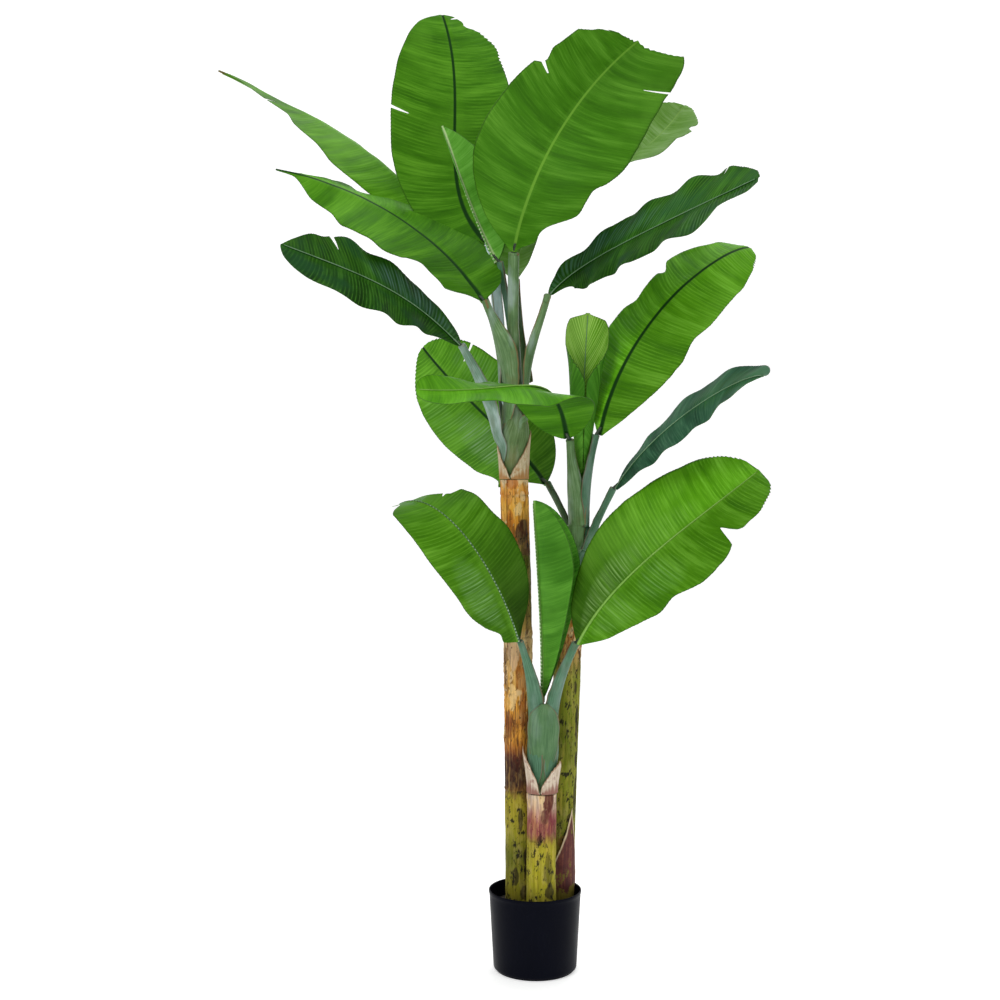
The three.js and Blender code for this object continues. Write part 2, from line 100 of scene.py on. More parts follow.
def smooth_table(rows, col, x, win=0.05):
    """Value at x of table rows [x, a, b, ...], joined by straight lines that are then rounded at the rows."""
    xs = np.linspace(-0.2, 1.2, 1401)
    ys = np.interp(xs, [r[0] for r in rows], [r[col] for r in rows])
    k = max(3, int(win * 1000) | 1)
    w = np.hanning(k + 2)[1:-1]
    ys = np.convolve(np.pad(ys, k // 2, mode="edge"), w / w.sum(), mode="valid")
    return np.interp(x, xs, ys)


# ------------------------------------------------------------------ meshes
def grid_faces(nu, nv, wrap_v=False):
    """Quads of a grid of nu rows by nv columns; wrap_v joins the last column to the first."""
    i = np.arange(nu - 1)[:, None]
    j = np.arange(nv if wrap_v else nv - 1)[None, :]
    j2 = (j + 1) % nv
    a = i * nv + j
    return np.stack([a, i * nv + j2, (i + 1) * nv + j2, (i + 1) * nv + j], -1).reshape(-1, 4)


def vertex_normals(P, F):
    a, b, c, d = (P[F[:, k]] for k in range(4))
    n = np.cross(c - a, d - b)
    N = np.zeros_like(P)
    for k in range(4):
        np.add.at(N, F[:, k], n)
    return unit(N)


def thicken(P, F, th, uvs=(), cover=None):
    """A closed shell round the surface P, F. Returns vertices, faces, uvs and the side (0 front, 1 back, 2 rim) of each face."""
    used = np.unique(F)
    remap = -np.ones(len(P), int)
    remap[used] = np.arange(len(used))
    P, F = P[used], remap[F]
    th = np.broadcast_to(np.asarray(th, float), (len(remap),))[used]
    uvs = [u[used] for u in uvs]
    N = vertex_normals(P, F)
    n = len(P)
    V = np.concatenate([P + N * th[:, None] / 2, P - N * th[:, None] / 2])
    E = np.concatenate([F[:, [0, 1]], F[:, [1, 2]], F[:, [2, 3]], F[:, [3, 0]]])
    key = np.sort(E, 1)
    key = key[:, 0].astype(np.int64) * n + key[:, 1]
    _, inv, cnt = np.unique(key, return_inverse=True, return_counts=True)
    B = E[cnt[inv] == 1]
    side = np.stack([B[:, 1], B[:, 0], B[:, 0] + n, B[:, 1] + n], -1)
    faces = np.concatenate([F, F[:, ::-1] + n, side])
    kind = np.concatenate([np.zeros(len(F), int), np.ones(len(F), int), np.full(len(side), 2)])
    return V, faces, [np.concatenate([u, u]) for u in uvs], kind


def new_object(name, V, F, mats, nodes=(), uvs=None, kinds=None, tris=None, attrs=None, smooth=True):
    """An object from vertices in mm. F: quads (k, 4); tris: extra triangles (m, 3)."""
    me = bpy.data.meshes.new(name)
    V = np.asarray(V, float) * MM
    F = np.asarray(F, int).reshape(-1, 4)
    T = np.asarray(tris, int).reshape(-1, 3) if tris is not None else np.zeros((0, 3), int)
    me.vertices.add(len(V))
    me.vertices.foreach_set("co", V.astype(np.float32).ravel())
    loops = np.concatenate([F.ravel(), T.ravel()]).astype(np.int32)
    me.loops.add(len(loops))
    me.loops.foreach_set("vertex_index", loops)
    total = np.concatenate([np.full(len(F), 4), np.full(len(T), 3)]).astype(np.int32)
    start = np.concatenate([[0], np.cumsum(total)[:-1]]).astype(np.int32)
    me.polygons.add(len(total))
    me.polygons.foreach_set("loop_start", start)
    me.polygons.foreach_set("loop_total", total)
    me.polygons.foreach_set("use_smooth", np.full(len(total), smooth, bool))
    if kinds is not None:
        k = np.concatenate([np.asarray(kinds, int), np.zeros(len(total) - len(kinds), int)])
        me.polygons.foreach_set("material_index", k.astype(np.int32))
    me.update(calc_edges=True)
    for nm, uv in (uvs or {}).items():
        layer = me.uv_layers.new(name=nm)
        layer.data.foreach_set("uv", np.asarray(uv, np.float32)[loops].ravel())
    for nm, val in (attrs or {}).items():
        a = me.color_attributes.new(name=nm, type="FLOAT_COLOR", domain="POINT")
        col = np.ones((len(V), 4), np.float32)
        col[:, : val.shape[1]] = val
        a.data.foreach_set("color", col.ravel())
    me.validate()
    ob = bpy.data.objects.new(name, me)
    for m in mats if isinstance(mats, (list, tuple)) else [mats]:
        me.materials.append(m)
    bpy.context.scene.collection.objects.link(ob)
    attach(ob, "root")
    if nodes:
        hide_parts(*nodes)
    return ob


def fan_caps(F, ring_a, ring_b, ca, cb):
    """Triangles that close the two end rings of a tube on centre vertices ca and cb."""
    a = [(ca, ring_a[(k + 1) % len(ring_a)], ring_a[k]) for k in range(len(ring_a))]
    b = [(cb, ring_b[k], ring_b[(k + 1) % len(ring_b)]) for k in range(len(ring_b))]
    return np.array(a + b)


def tube(P, S, N, rs, rn, sides=14):
    """A closed tube along centre points P with cross axes S and N and half sizes rs and rn."""
    n = len(P)
    a = np.linspace(0, 2 * np.pi, sides, endpoint=False)
    rs = np.broadcast_to(np.asarray(rs, float), (n,)) if np.ndim(rs) < 2 else rs
    rn = np.broadcast_to(np.asarray(rn, float), (n,)) if np.ndim(rn) < 2 else rn
    rs = rs[:, None] if rs.ndim == 1 else rs
    rn = rn[:, None] if rn.ndim == 1 else rn
    V = P[:, None] + S[:, None] * (np.cos(a)[None] * rs)[..., None] + N[:, None] * (np.sin(a)[None] * rn)[..., None]
    V = V.reshape(-1, 3)
    F = grid_faces(n, sides, True)
    ca, cb = len(V), len(V) + 1
    V = np.concatenate([V, P[:1], P[-1:]])
    T = fan_caps(F, np.arange(sides), np.arange(sides) + (n - 1) * sides, ca, cb)
    # faces outward: S x N must point along the path
    if np.dot(np.cross(S[0], N[0]), P[min(1, n - 1)] - P[0]) < 0:
        F, T = F[:, ::-1], T[:, ::-1]
    uv = np.zeros((len(V), 2))
    d = np.r_[0, np.cumsum(np.linalg.norm(np.diff(P, axis=0), axis=1))]
    uv[:-2, 0] = np.repeat(d, sides) / 100
    uv[:-2, 1] = np.tile(np.cos(a), n)
    uv[-2], uv[-1] = (0, 0), (d[-1] / 100, 0)
    return V, F, T, uv


def join(parts):
    """Parts (V, F, T, uv) as one."""
    Vs, Fs, Ts, Us, off = [], [], [], [], 0
    for V, F, T, uv in parts:
        Vs.append(V); Fs.append(F + off); Ts.append(T + off); Us.append(uv); off += len(V)
    return np.concatenate(Vs), np.concatenate(Fs), np.concatenate(Ts), np.concatenate(Us)


def bez(P, t):
    t = np.asarray(t, float)[..., None]
    u = 1 - t
    return u ** 3 * P[0] + 3 * u * u * t * P[1] + 3 * u * t * t * P[2] + t ** 3 * P[3]


def bezd(P, t):
    t = np.asarray(t, float)[..., None]
    u = 1 - t
    return 3 * u * u * (P[1] - P[0]) + 6 * u * t * (P[2] - P[1]) + 3 * t * t * (P[3] - P[2])


# ------------------------------------------------------------------ materials
class Nodes:
    def __init__(self, name):
        self.m = bpy.data.materials.new(name)
        self.m.use_nodes = True
        self.t = self.m.node_tree
        self.t.nodes.clear()
        self.out = self.t.nodes.new("ShaderNodeOutputMaterial")
        self.b = self.t.nodes.new("ShaderNodeBsdfPrincipled")
        self.t.links.new(self.b.outputs[0], self.out.inputs[0])

    def n(self, kind, **kw):
        nd = self.t.nodes.new(kind)
        for k, v in kw.items():
            setattr(nd, k, v)
        return nd

    def put(self, sock, v):
        if isinstance(v, bpy.types.NodeSocket):
            self.t.links.new(v, sock)
        elif v is not None:
            if sock.type == "RGBA" and len(v) == 3:
                v = (*v, 1)
            sock.default_value = v

    def math(self, op, a, b=None, c=None, clamp=False):
        nd = self.n("ShaderNodeMath", operation=op, use_clamp=clamp)
        for s, v in zip(nd.inputs, (a, b, c)):
            if v is not None:
                self.put(s, v)
        return nd.outputs[0]

    def mix(self, f, a, b, blend="MIX"):
        nd = self.n("ShaderNodeMix", data_type="RGBA", blend_type=blend)
        nd.clamp_factor = True
        self.put(nd.inputs[0], f)
        self.put(nd.inputs[6], a)
        self.put(nd.inputs[7], b)
        return nd.outputs[2]

    def ramp(self, f, stops, interp="LINEAR"):
        nd = self.n("ShaderNodeValToRGB")
        nd.color_ramp.interpolation = interp
        el = nd.color_ramp.elements
        while len(el) < len(stops):
            el.new(0.5)
        for e, (p, c) in zip(el, stops):
            e.position = p
            e.color = (*c, 1) if len(c) == 3 else c
        self.put(nd.inputs[0], f)
        return nd.outputs[0]

    def range(self, v, a, b, c=0.0, d=1.0, smooth=False):
        nd = self.n("ShaderNodeMapRange", interpolation_type="SMOOTHSTEP" if smooth else "LINEAR")
        for s, x in zip(nd.inputs, (v, a, b, c, d)):
            self.put(s, x)
        return nd.outputs[0]

    def noise(self, vec, scale, detail=3.0, rough=0.5, distort=0.0):
        nd = self.n("ShaderNodeTexNoise")
        self.put(nd.inputs["Vector"], vec)
        nd.inputs["Scale"].default_value = scale
        nd.inputs["Detail"].default_value = detail
        nd.inputs["Roughness"].default_value = rough
        nd.inputs["Distortion"].default_value = distort
        return nd.outputs[0]

    def scaled(self, vec, sx, sy, sz=1.0):
        nd = self.n("ShaderNodeMapping")
        self.put(nd.inputs[0], vec)
        nd.inputs["Scale"].default_value = (sx, sy, sz)
        return nd.outputs[0]

    def uv(self, name):
        nd = self.n("ShaderNodeUVMap")
        nd.uv_map = name
        return nd.outputs[0]

    def xyz(self, vec):
        nd = self.n("ShaderNodeSeparateXYZ")
        self.put(nd.inputs[0], vec)
        return nd.outputs

    def obj(self):
        return self.n("ShaderNodeTexCoord").outputs["Object"]

    def attr(self, name):
        nd = self.n("ShaderNodeAttribute")
        nd.attribute_name = name
        return nd.outputs["Color"]

    def bump(self, h, dist, strength=1.0):
        nd = self.n("ShaderNodeBump")
        nd.inputs["Strength"].default_value = strength
        nd.inputs["Distance"].default_value = dist
        self.put(nd.inputs["Height"], h)
        return nd.outputs[0]

    def finish(self, color, rough, normal=None, spec=0.5, coat=0.0, coat_rough=0.2):
        self.put(self.b.inputs["Base Color"], color)
        self.put(self.b.inputs["Roughness"], rough)
        if normal is not None:
            self.put(self.b.inputs["Normal"], normal)
        self.b.inputs["Specular IOR Level"].default_value = spec
        self.b.inputs["Coat Weight"].default_value = coat
        self.b.inputs["Coat Roughness"].default_value = coat_rough
        return self.m


VEIN = 7.0  # mm from one side vein to the next


def leaf_material(name, dark, mid, light, edge, rib, rib_w=2.2, rough=0.52, spec=0.06, seed=0.0, blue=None, brown_tip=0.0, line=0.35, patch=(0.40, 0.62), broad=1.0, painted_light_shade=None, sheen_zones=(), rib_to=None):
    """Printed leaf. UV map veins: x along the rib, y across it, in units of 100 mm. UV map place: x from stalk to tip,
    y from -1 to 1 across.
    Brightness factors (at stalk and tip, for the negative side and then for the positive side) paint light and shade
    onto the leaf. Sheen patches (along, across, size along, size across, colour, strength) paint sheen highlights onto
    it."""
    k = Nodes(name)
    v = k.uv("veins")
    x, y, _ = k.xyz(v)
    px, py, _ = k.xyz(k.uv("place"))
    off = k.n("ShaderNodeVectorMath", operation="ADD")
    k.put(off.inputs[0], v)
    off.inputs[1].default_value = (seed * 3.7, seed * 1.3, seed)
    w = off.outputs[0]
    # streaks that run with the side veins, from narrow to broad
    streak = k.noise(k.scaled(w, 62, 1.6), 1.0, 4, 0.62)
    fine = k.noise(k.scaled(w, 240, 4), 1.0, 2, 0.5)
    wide = k.noise(k.scaled(w, 9.0, 0.8), 1.0, 3, 0.55)
    bands = k.noise(k.scaled(w, 2.6, 0.45), 1.0, 3, 0.5)
    cloud = k.noise(k.obj(), 7.0, 3, 0.5)
    # side veins show in places and fade in others
    s = k.math("SINE", k.math("MULTIPLY", x, 100.0 / VEIN * 2 * math.pi))
    where = k.range(k.noise(k.scaled(w, 1.7, 1.3), 1.0, 2, 0.5), patch[0] + 0.04, patch[1] + 0.06, 0.05, 1, True)
    where = k.math("MULTIPLY", where, k.range(k.noise(k.scaled(w, 30, 5.0), 1.0, 3, 0.6), 0.36, 0.56, 0.35, 1.0, True))
    vein = k.math("MULTIPLY", k.range(s, 0.60, 1.0, 0, 1, True), where)
    gap = k.math("MULTIPLY", k.range(s, -1.0, -0.2, 1, 0, True), where)
    a = k.math("ADD", k.math("MULTIPLY", streak, 0.30), k.math("ADD", k.math("MULTIPLY", wide, 0.35), k.math("MULTIPLY", bands, 0.35)))
    base = k.ramp(a, [(0.36, dark), (0.50, mid), (0.64, light)])
    base = k.mix(k.range(bands, 0.50, 0.30, 0, 0.42 * broad, True), base, dark)
    base = k.mix(k.range(cloud, 0.52, 0.72, 0, 0.40, True), base, light)
    base = k.mix(k.math("MULTIPLY", vein, line), base, light)
    base = k.mix(k.math("MULTIPLY", gap, line * 0.6), base, dark)
    base = k.mix(k.math("MULTIPLY", k.range(fine, 0.54, 0.80, 0, 0.45), where), base, light)
    ay = k.math("ABSOLUTE", py)
    if blue is not None:
        base = k.mix(k.range(k.noise(k.scaled(w, 1.5, 1.2), 1.0, 2), 0.44, 0.70, 0, 0.8, True), base, blue)
    # painted light and shade: the colour is made brighter or darker from stalk to tip, differently on each side of the
    # rib
    if painted_light_shade is not None:
        f0 = k.range(px, 0.02, 0.85, painted_light_shade[0], painted_light_shade[1], True)
        f1 = k.range(px, 0.02, 0.85, painted_light_shade[2], painted_light_shade[3], True)
        pick = k.range(py, -0.03, 0.03, 0, 1)
        f = k.math("ADD", k.math("MULTIPLY", f0, k.math("SUBTRACT", 1.0, pick)), k.math("MULTIPLY", f1, pick))
        sc_ = k.n("ShaderNodeVectorMath", operation="SCALE")
        k.put(sc_.inputs[0], base)
        k.put(sc_.inputs[3], f)
        base = sc_.outputs[0]
    # painted sheen: lighter patches, streaked along the side veins, where the leaf's surface catches the light
    for (zu, zb, ru, rb, col, amt) in sheen_zones:
        du = k.math("DIVIDE", k.math("SUBTRACT", px, zu), ru)
        db = k.math("DIVIDE", k.math("SUBTRACT", py, zb), rb)
        d2 = k.math("ADD", k.math("MULTIPLY", du, du), k.math("MULTIPLY", db, db))
        sheen_spot = k.range(d2, 1.0, 0.15, 0, 1, True)
        st = k.range(k.noise(k.scaled(w, 30, 0.8), 1.0, 5, 0.65), 0.40, 0.62, 0.08, 1.0, True)
        st = k.math("MULTIPLY", st, k.range(s, -0.5, 0.9, 0.35, 1.0, True))
        base = k.mix(k.math("MULTIPLY", k.math("MULTIPLY", sheen_spot, st), amt), base, col)
    ry = k.math("ABSOLUTE", k.math("MULTIPLY", y, 100.0))
    base = k.mix(k.range(ry, 14.0, 3.0, 0, 0.12, True), base, light)
    base = k.mix(k.range(ay, 0.972, 1.0, 0, 0.75, True), base, edge)
    near = k.math("ADD", 1.0, k.math("MULTIPLY", k.math("POWER", k.math("SUBTRACT", 1.0, px, clamp=True), 4.0), 0.9))
    line_ = k.range(k.math("DIVIDE", ry, near), rib_w, rib_w * 0.4, 0, 1, True)
    if rib_to is not None:
        line_ = k.math("MULTIPLY", line_, k.range(px, rib_to, rib_to + 0.10, 1, 0, True))
    # band of the rib colour along the rib; the dark groove colour there is painted shade
    base = k.mix(line_, base, rib)
    if brown_tip:
        t = k.math("ADD", px, k.math("MULTIPLY", k.noise(v, 9.0, 3), 0.05))
        base = k.mix(k.range(t, 1.02 - brown_tip, 1.045 - brown_tip, 0, 0.9, True), base, (0.16, 0.09, 0.035))
    h = k.math("ADD", k.math("MULTIPLY", streak, 0.6), k.math("MULTIPLY", fine, 0.4))
    nrm = k.bump(h, 0.0006, 0.5)
    r = k.range(wide, 0.3, 0.7, rough - 0.06, rough + 0.08)
    r = k.math("ADD", r, k.math("MULTIPLY", gap, 0.05))
    return k.finish(base, r, nrm, spec)


def rib_material(name, light, dark, rough=0.45, bead=1.0, fade=None):
    k = Nodes(name)
    x, y, _ = k.xyz(k.uv("along"))
    s = k.math("SINE", k.math("MULTIPLY", x, 100.0 / VEIN * 2 * math.pi))
    n = k.noise(k.obj(), 260.0, 3)
    w = k.noise(k.scaled(k.uv("along"), 5, 0.5), 1.0, 2)
    f = k.math("ADD", k.math("MULTIPLY", k.range(s, -0.2, 0.9, 1.0 - bead, 1.0), k.range(w, 0.35, 0.6, 0.25 + 0.35 * (1.0 - bead), 0.9)), k.math("MULTIPLY", k.math("SUBTRACT", n, 0.4), 0.5))
    if fade is not None:
        f = k.math("MULTIPLY", f, k.range(x, fade, fade * 0.6, 0, 1, True))
    base = k.mix(f, dark, light)
    return k.finish(base, k.range(n, 0.3, 0.7, rough - 0.05, rough + 0.1), k.bump(n, 0.0004, 0.5), 0.3)


def stalk_material(name, a, b, c, edge, rough=0.42, streaks=1.0, painted_sheen=0.35):
    """Moulded stalk or sheath. UV map along: x from top to foot in 100 mm, y from -1 to 1 across."""
    k = Nodes(name)
    v = k.uv("along")
    x, y, _ = k.xyz(v)
    st = k.noise(k.scaled(v, 1.6, 9.0), 1.0, 5, 0.6)
    fine = k.noise(k.scaled(v, 5.0, 55.0), 1.0, 3, 0.6)
    cl = k.noise(k.obj(), 26.0, 4, 0.55)
    f = k.math("ADD", k.math("MULTIPLY", st, 0.6), k.math("MULTIPLY", cl, 0.4))
    base = k.ramp(f, [(0.34, a), (0.50, b), (0.68, c)])
    base = k.mix(k.range(fine, 0.5, 0.72, 0, 0.32 * streaks), base, c)
    base = k.mix(k.range(fine, 0.45, 0.28, 0, 0.30 * streaks), base, a)
    e = k.math("ADD", k.math("ABSOLUTE", y), k.math("MULTIPLY", k.math("SUBTRACT", st, 0.5), 0.35))
    base = k.mix(k.range(e, 0.84, 0.99, 0, 0.85, True), base, edge)
    # painted sheen: whitish blue patches where the noise is high, painted highlights on the stalk
    sheen_noise = k.noise(k.scaled(k.obj(), 26.0, 26.0, 9.0), 1.0, 3, 0.5)
    base = k.mix(k.range(sheen_noise, 0.50, 0.66, 0, painted_sheen), base, (0.46, 0.56, 0.55))
    tan = k.noise(k.scaled(k.obj(), 34.0, 34.0, 12.0), 1.0, 4, 0.6)
    base = k.mix(k.range(tan, 0.56, 0.70, 0, 0.45), base, k.mix(0.5, b, edge))
    speck = k.noise(k.obj(), 420.0, 2)
    base = k.mix(k.range(speck, 0.68, 0.74, 0, 0.35), base, edge)
    h = k.math("ADD", k.math("MULTIPLY", fine, 0.6), k.math("MULTIPLY", st, 0.4))
    return k.finish(base, k.range(cl, 0.3, 0.7, rough - 0.07, rough + 0.1), k.bump(h, 0.0007, 0.6), 0.14)


def bark_material(name, fibre=1.0, fleck=0.8):
    """Bark. Colour attributes: tint, the colour of the place; relief, r flakes, g cracks, b fibrous places."""
    k = Nodes(name)
    o = k.obj()
    sep = k.n("ShaderNodeSeparateColor")
    k.put(sep.inputs[0], k.attr("relief"))
    r, g, b = sep.outputs[0], sep.outputs[1], sep.outputs[2]
    base = k.attr("tint")
    fib = k.noise(k.scaled(o, 230, 230, 9), 1.0, 5, 0.70)
    fib2 = k.noise(k.scaled(o, 620, 620, 40), 1.0, 3, 0.6)
    mott = k.noise(k.scaled(o, 60, 60, 24), 1.0, 5, 0.65)
    base = k.mix(k.range(mott, 0.50, 0.72, 0, 0.45), base, k.mix(0.5, base, (0.62, 0.50, 0.22)))
    dark = k.mix(0.22, (0.030, 0.009, 0.004), base)
    amount = k.math("ADD", k.math("MULTIPLY", b, 0.75 * fibre), 0.22)
    base = k.mix(k.math("MULTIPLY", k.range(fib, 0.52, 0.38, 0, 1.0), amount), base, dark)
    base = k.mix(k.math("MULTIPLY", k.range(fib, 0.54, 0.70, 0, 0.9), amount), base, k.mix(0.45, base, (0.80, 0.52, 0.17)))
    base = k.mix(k.math("MULTIPLY", k.range(fib2, 0.55, 0.75, 0, 0.35), amount), base, (0.72, 0.44, 0.13))
    # peeling flakes are pale and papery, cracks are dark
    pale = k.mix(fib2, (0.56, 0.34, 0.12), (0.84, 0.66, 0.38))
    pale = k.mix(k.range(mott, 0.52, 0.64, 0, 0.6), pale, (0.45, 0.20, 0.05))
    base = k.mix(k.math("MULTIPLY", r, fleck), base, pale)
    base = k.mix(k.math("MULTIPLY", g, 0.93), base, (0.006, 0.004, 0.002))
    sp = k.noise(k.scaled(o, 300, 300, 120), 1.0, 2)
    base = k.mix(k.range(sp, 0.66, 0.71, 0, 0.75), base, (0.012, 0.008, 0.004))
    h = k.math("ADD", k.math("MULTIPLY", fib, 0.7), k.math("MULTIPLY", fib2, 0.3))
    return k.finish(base, k.range(fib, 0.3, 0.7, 0.86, 0.62), k.bump(h, 0.0026, 0.85), 0.2)


def simple_material(name, a, b, scale, rough, bump=0.0006, spec=0.5, detail=4, coat=0.0):
    k = Nodes(name)
    n = k.noise(k.obj(), scale, detail, 0.6)
    n2 = k.noise(k.obj(), scale * 7.3, 3, 0.6)
    base = k.mix(k.range(n, 0.35, 0.65), a, b)
    h = k.math("ADD", k.math("MULTIPLY", n, 0.5), k.math("MULTIPLY", n2, 0.5))
    return k.finish(base, k.range(n2, 0.3, 0.7, rough[0], rough[1]), k.bump(h, bump, 0.7), spec, coat)


RIM_DARK = (0.030, 0.085, 0.008)
GREEN = dict(dark=(0.024, 0.110, 0.0015), mid=(0.050, 0.190, 0.004), light=(0.115, 0.330, 0.018), edge=RIM_DARK)
SPRING = dict(dark=(0.032, 0.135, 0.0015), mid=(0.070, 0.235, 0.004), light=(0.155, 0.400, 0.030), edge=RIM_DARK)
UNDER = dict(dark=(0.028, 0.115, 0.003), mid=(0.050, 0.185, 0.006), light=(0.110, 0.300, 0.024), edge=RIM_DARK)
BLUISH = dict(dark=(0.018, 0.090, 0.010), mid=(0.038, 0.150, 0.018), light=(0.115, 0.300, 0.060), edge=RIM_DARK)
DEEP = dict(dark=(0.004, 0.024, 0.001), mid=(0.013, 0.068, 0.003), light=(0.052, 0.175, 0.018), edge=(0.010, 0.04, 0.006))
TEAL = dict(dark=(0.012, 0.052, 0.026), mid=(0.032, 0.112, 0.058), light=(0.088, 0.230, 0.120), edge=(0.02, 0.06, 0.03))
YOUNG = dict(dark=(0.030, 0.130, 0.006), mid=(0.055, 0.205, 0.014), light=(0.120, 0.350, 0.035), edge=RIM_DARK)
# pale, yellowish greens: painted light shining through a thin leaf
BACKLIT_PALE = dict(dark=(0.075, 0.210, 0.008), mid=(0.140, 0.300, 0.050), light=(0.270, 0.440, 0.160), edge=(0.12, 0.25, 0.06))
# dark green band painted along a grooved rib: painted shade in the groove
GROOVE_SHADE = (0.007, 0.042, 0.005)
RIDGE = (0.14, 0.33, 0.030)

M_LEAF = {
    "green": dict(rib=GROOVE_SHADE, rib_w=4.2, seed=1.0, broad=0.75, line=0.28, **GREEN),
    "green_c": dict(rib=GROOVE_SHADE, rib_w=4.2, seed=3.3, line=0.42, patch=(0.38, 0.56), broad=0.45, **GREEN),
    "spring": dict(rib=GROOVE_SHADE, rib_w=4.0, seed=5.2, line=0.5, patch=(0.35, 0.55), **SPRING),
    "bluish": dict(rib=GROOVE_SHADE, rib_w=2.6, seed=7.0, blue=(0.045, 0.160, 0.045), line=0.55, patch=(0.30, 0.52), rough=0.42, spec=0.16, **BLUISH),
    "bright": dict(rib=GROOVE_SHADE, rib_w=3.8, seed=7.0, line=0.6, patch=(0.30, 0.52), rough=0.44, spec=0.14, **SPRING),
    "ridge": dict(rib=RIDGE, rib_w=2.2, seed=3.0, line=0.28, broad=0.35, **GREEN),
    "ridge_b": dict(rib=RIDGE, rib_w=2.6, seed=9.0, line=0.5, patch=(0.32, 0.54), broad=0.7, **SPRING),
    "tip": dict(rib=RIDGE, seed=4.0, brown_tip=0.035, line=0.3, **SPRING),
    "under": dict(rib=RIDGE, rib_w=3.0, seed=5.0, line=0.35, **UNDER),
    "deep": dict(rib=(0.006, 0.036, 0.004), rib_w=3.0, rough=0.66, spec=0.02, seed=2.0, blue=(0.010, 0.058, 0.016), line=0.8, patch=(0.30, 0.5), **DEEP),
    "teal": dict(rib=(0.03, 0.10, 0.04), rib_w=2.2, rough=0.64, spec=0.02, seed=6.0, line=0.5, **TEAL),
    "young": dict(rib=(0.20, 0.42, 0.08), rib_w=2.6, seed=8.0, line=0.32, **YOUNG),
    "hood": dict(rib=(0.24, 0.46, 0.05), rib_w=2.2, seed=8.5, line=0.95, patch=(0.1, 0.2), dark=(0.055, 0.19, 0.004), mid=(0.12, 0.30, 0.012), light=(0.36, 0.58, 0.13), edge=RIM_DARK),
    "pale": dict(rib=(0.20, 0.36, 0.08), seed=10.0, line=0.3, **BACKLIT_PALE),
    "fresh": dict(rib=(0.42, 0.58, 0.26), rib_w=3.2, seed=11.0, line=0.15, broad=0.5, dark=(0.050, 0.200, 0.010), mid=(0.090, 0.300, 0.026), light=(0.165, 0.440, 0.065), edge=RIM_DARK),
}
M_RIB = rib_material("rib_light", (0.23, 0.44, 0.075), (0.105, 0.280, 0.020), bead=0.12)
M_RIB_WHITE = rib_material("rib_pale", (0.55, 0.66, 0.40), (0.10, 0.27, 0.04))
M_RIB_DOTS = rib_material("rib_dots", (0.34, 0.48, 0.31), (0.018, 0.080, 0.018))
M_RIB_MID = rib_material("rib_mid", (0.190, 0.340, 0.180), (0.070, 0.180, 0.070), bead=0.2)
M_RIB_PART = rib_material("rib_part", (0.55, 0.66, 0.40), (0.120, 0.370, 0.050), fade=1.9)
M_RIB_DARK = rib_material("rib_dark", (0.05, 0.14, 0.02), (0.012, 0.04, 0.006))
M_RIM = simple_material("leaf_margin", (0.030, 0.090, 0.010), (0.060, 0.150, 0.020), 60.0, (0.5, 0.65), spec=0.25)
M_STALK = stalk_material("stalk", (0.060, 0.125, 0.045), (0.115, 0.215, 0.080), (0.240, 0.370, 0.190), (0.20, 0.12, 0.05), painted_sheen=0.45)
M_STALK_GREEN = stalk_material("stalk_green", (0.034, 0.095, 0.050), (0.065, 0.160, 0.088), (0.130, 0.255, 0.160), (0.18, 0.12, 0.07), painted_sheen=0.16)
M_STALK_DARK = stalk_material("stalk_dark", (0.025, 0.060, 0.030), (0.055, 0.115, 0.050), (0.110, 0.200, 0.085), (0.07, 0.07, 0.03), rough=0.42, painted_sheen=0.12)
# near white, bluish colours: a painted reflection on the glossy face of the sheath
M_STALK_REFLECTION = stalk_material("stalk_painted_reflection", (0.40, 0.56, 0.54), (0.68, 0.84, 0.88), (0.86, 0.95, 1.00), (0.22, 0.22, 0.12), rough=0.30)
M_SHEATH = stalk_material("sheath", (0.060, 0.105, 0.030), (0.105, 0.175, 0.062), (0.200, 0.290, 0.140), (0.26, 0.13, 0.05), painted_sheen=0.30)
M_SHEATH_BLUE = stalk_material("sheath_bluish", (0.060, 0.125, 0.075), (0.120, 0.215, 0.145), (0.260, 0.380, 0.320), (0.16, 0.13, 0.08), rough=0.38, painted_sheen=0.6)
M_SHEATH_GREEN = stalk_material("sheath_green", (0.042, 0.105, 0.042), (0.075, 0.165, 0.066), (0.130, 0.235, 0.110), (0.17, 0.11, 0.06), painted_sheen=0.14)
M_NECK = simple_material("wire_neck", (0.010, 0.022, 0.012), (0.035, 0.060, 0.028), 120.0, (0.4, 0.6))


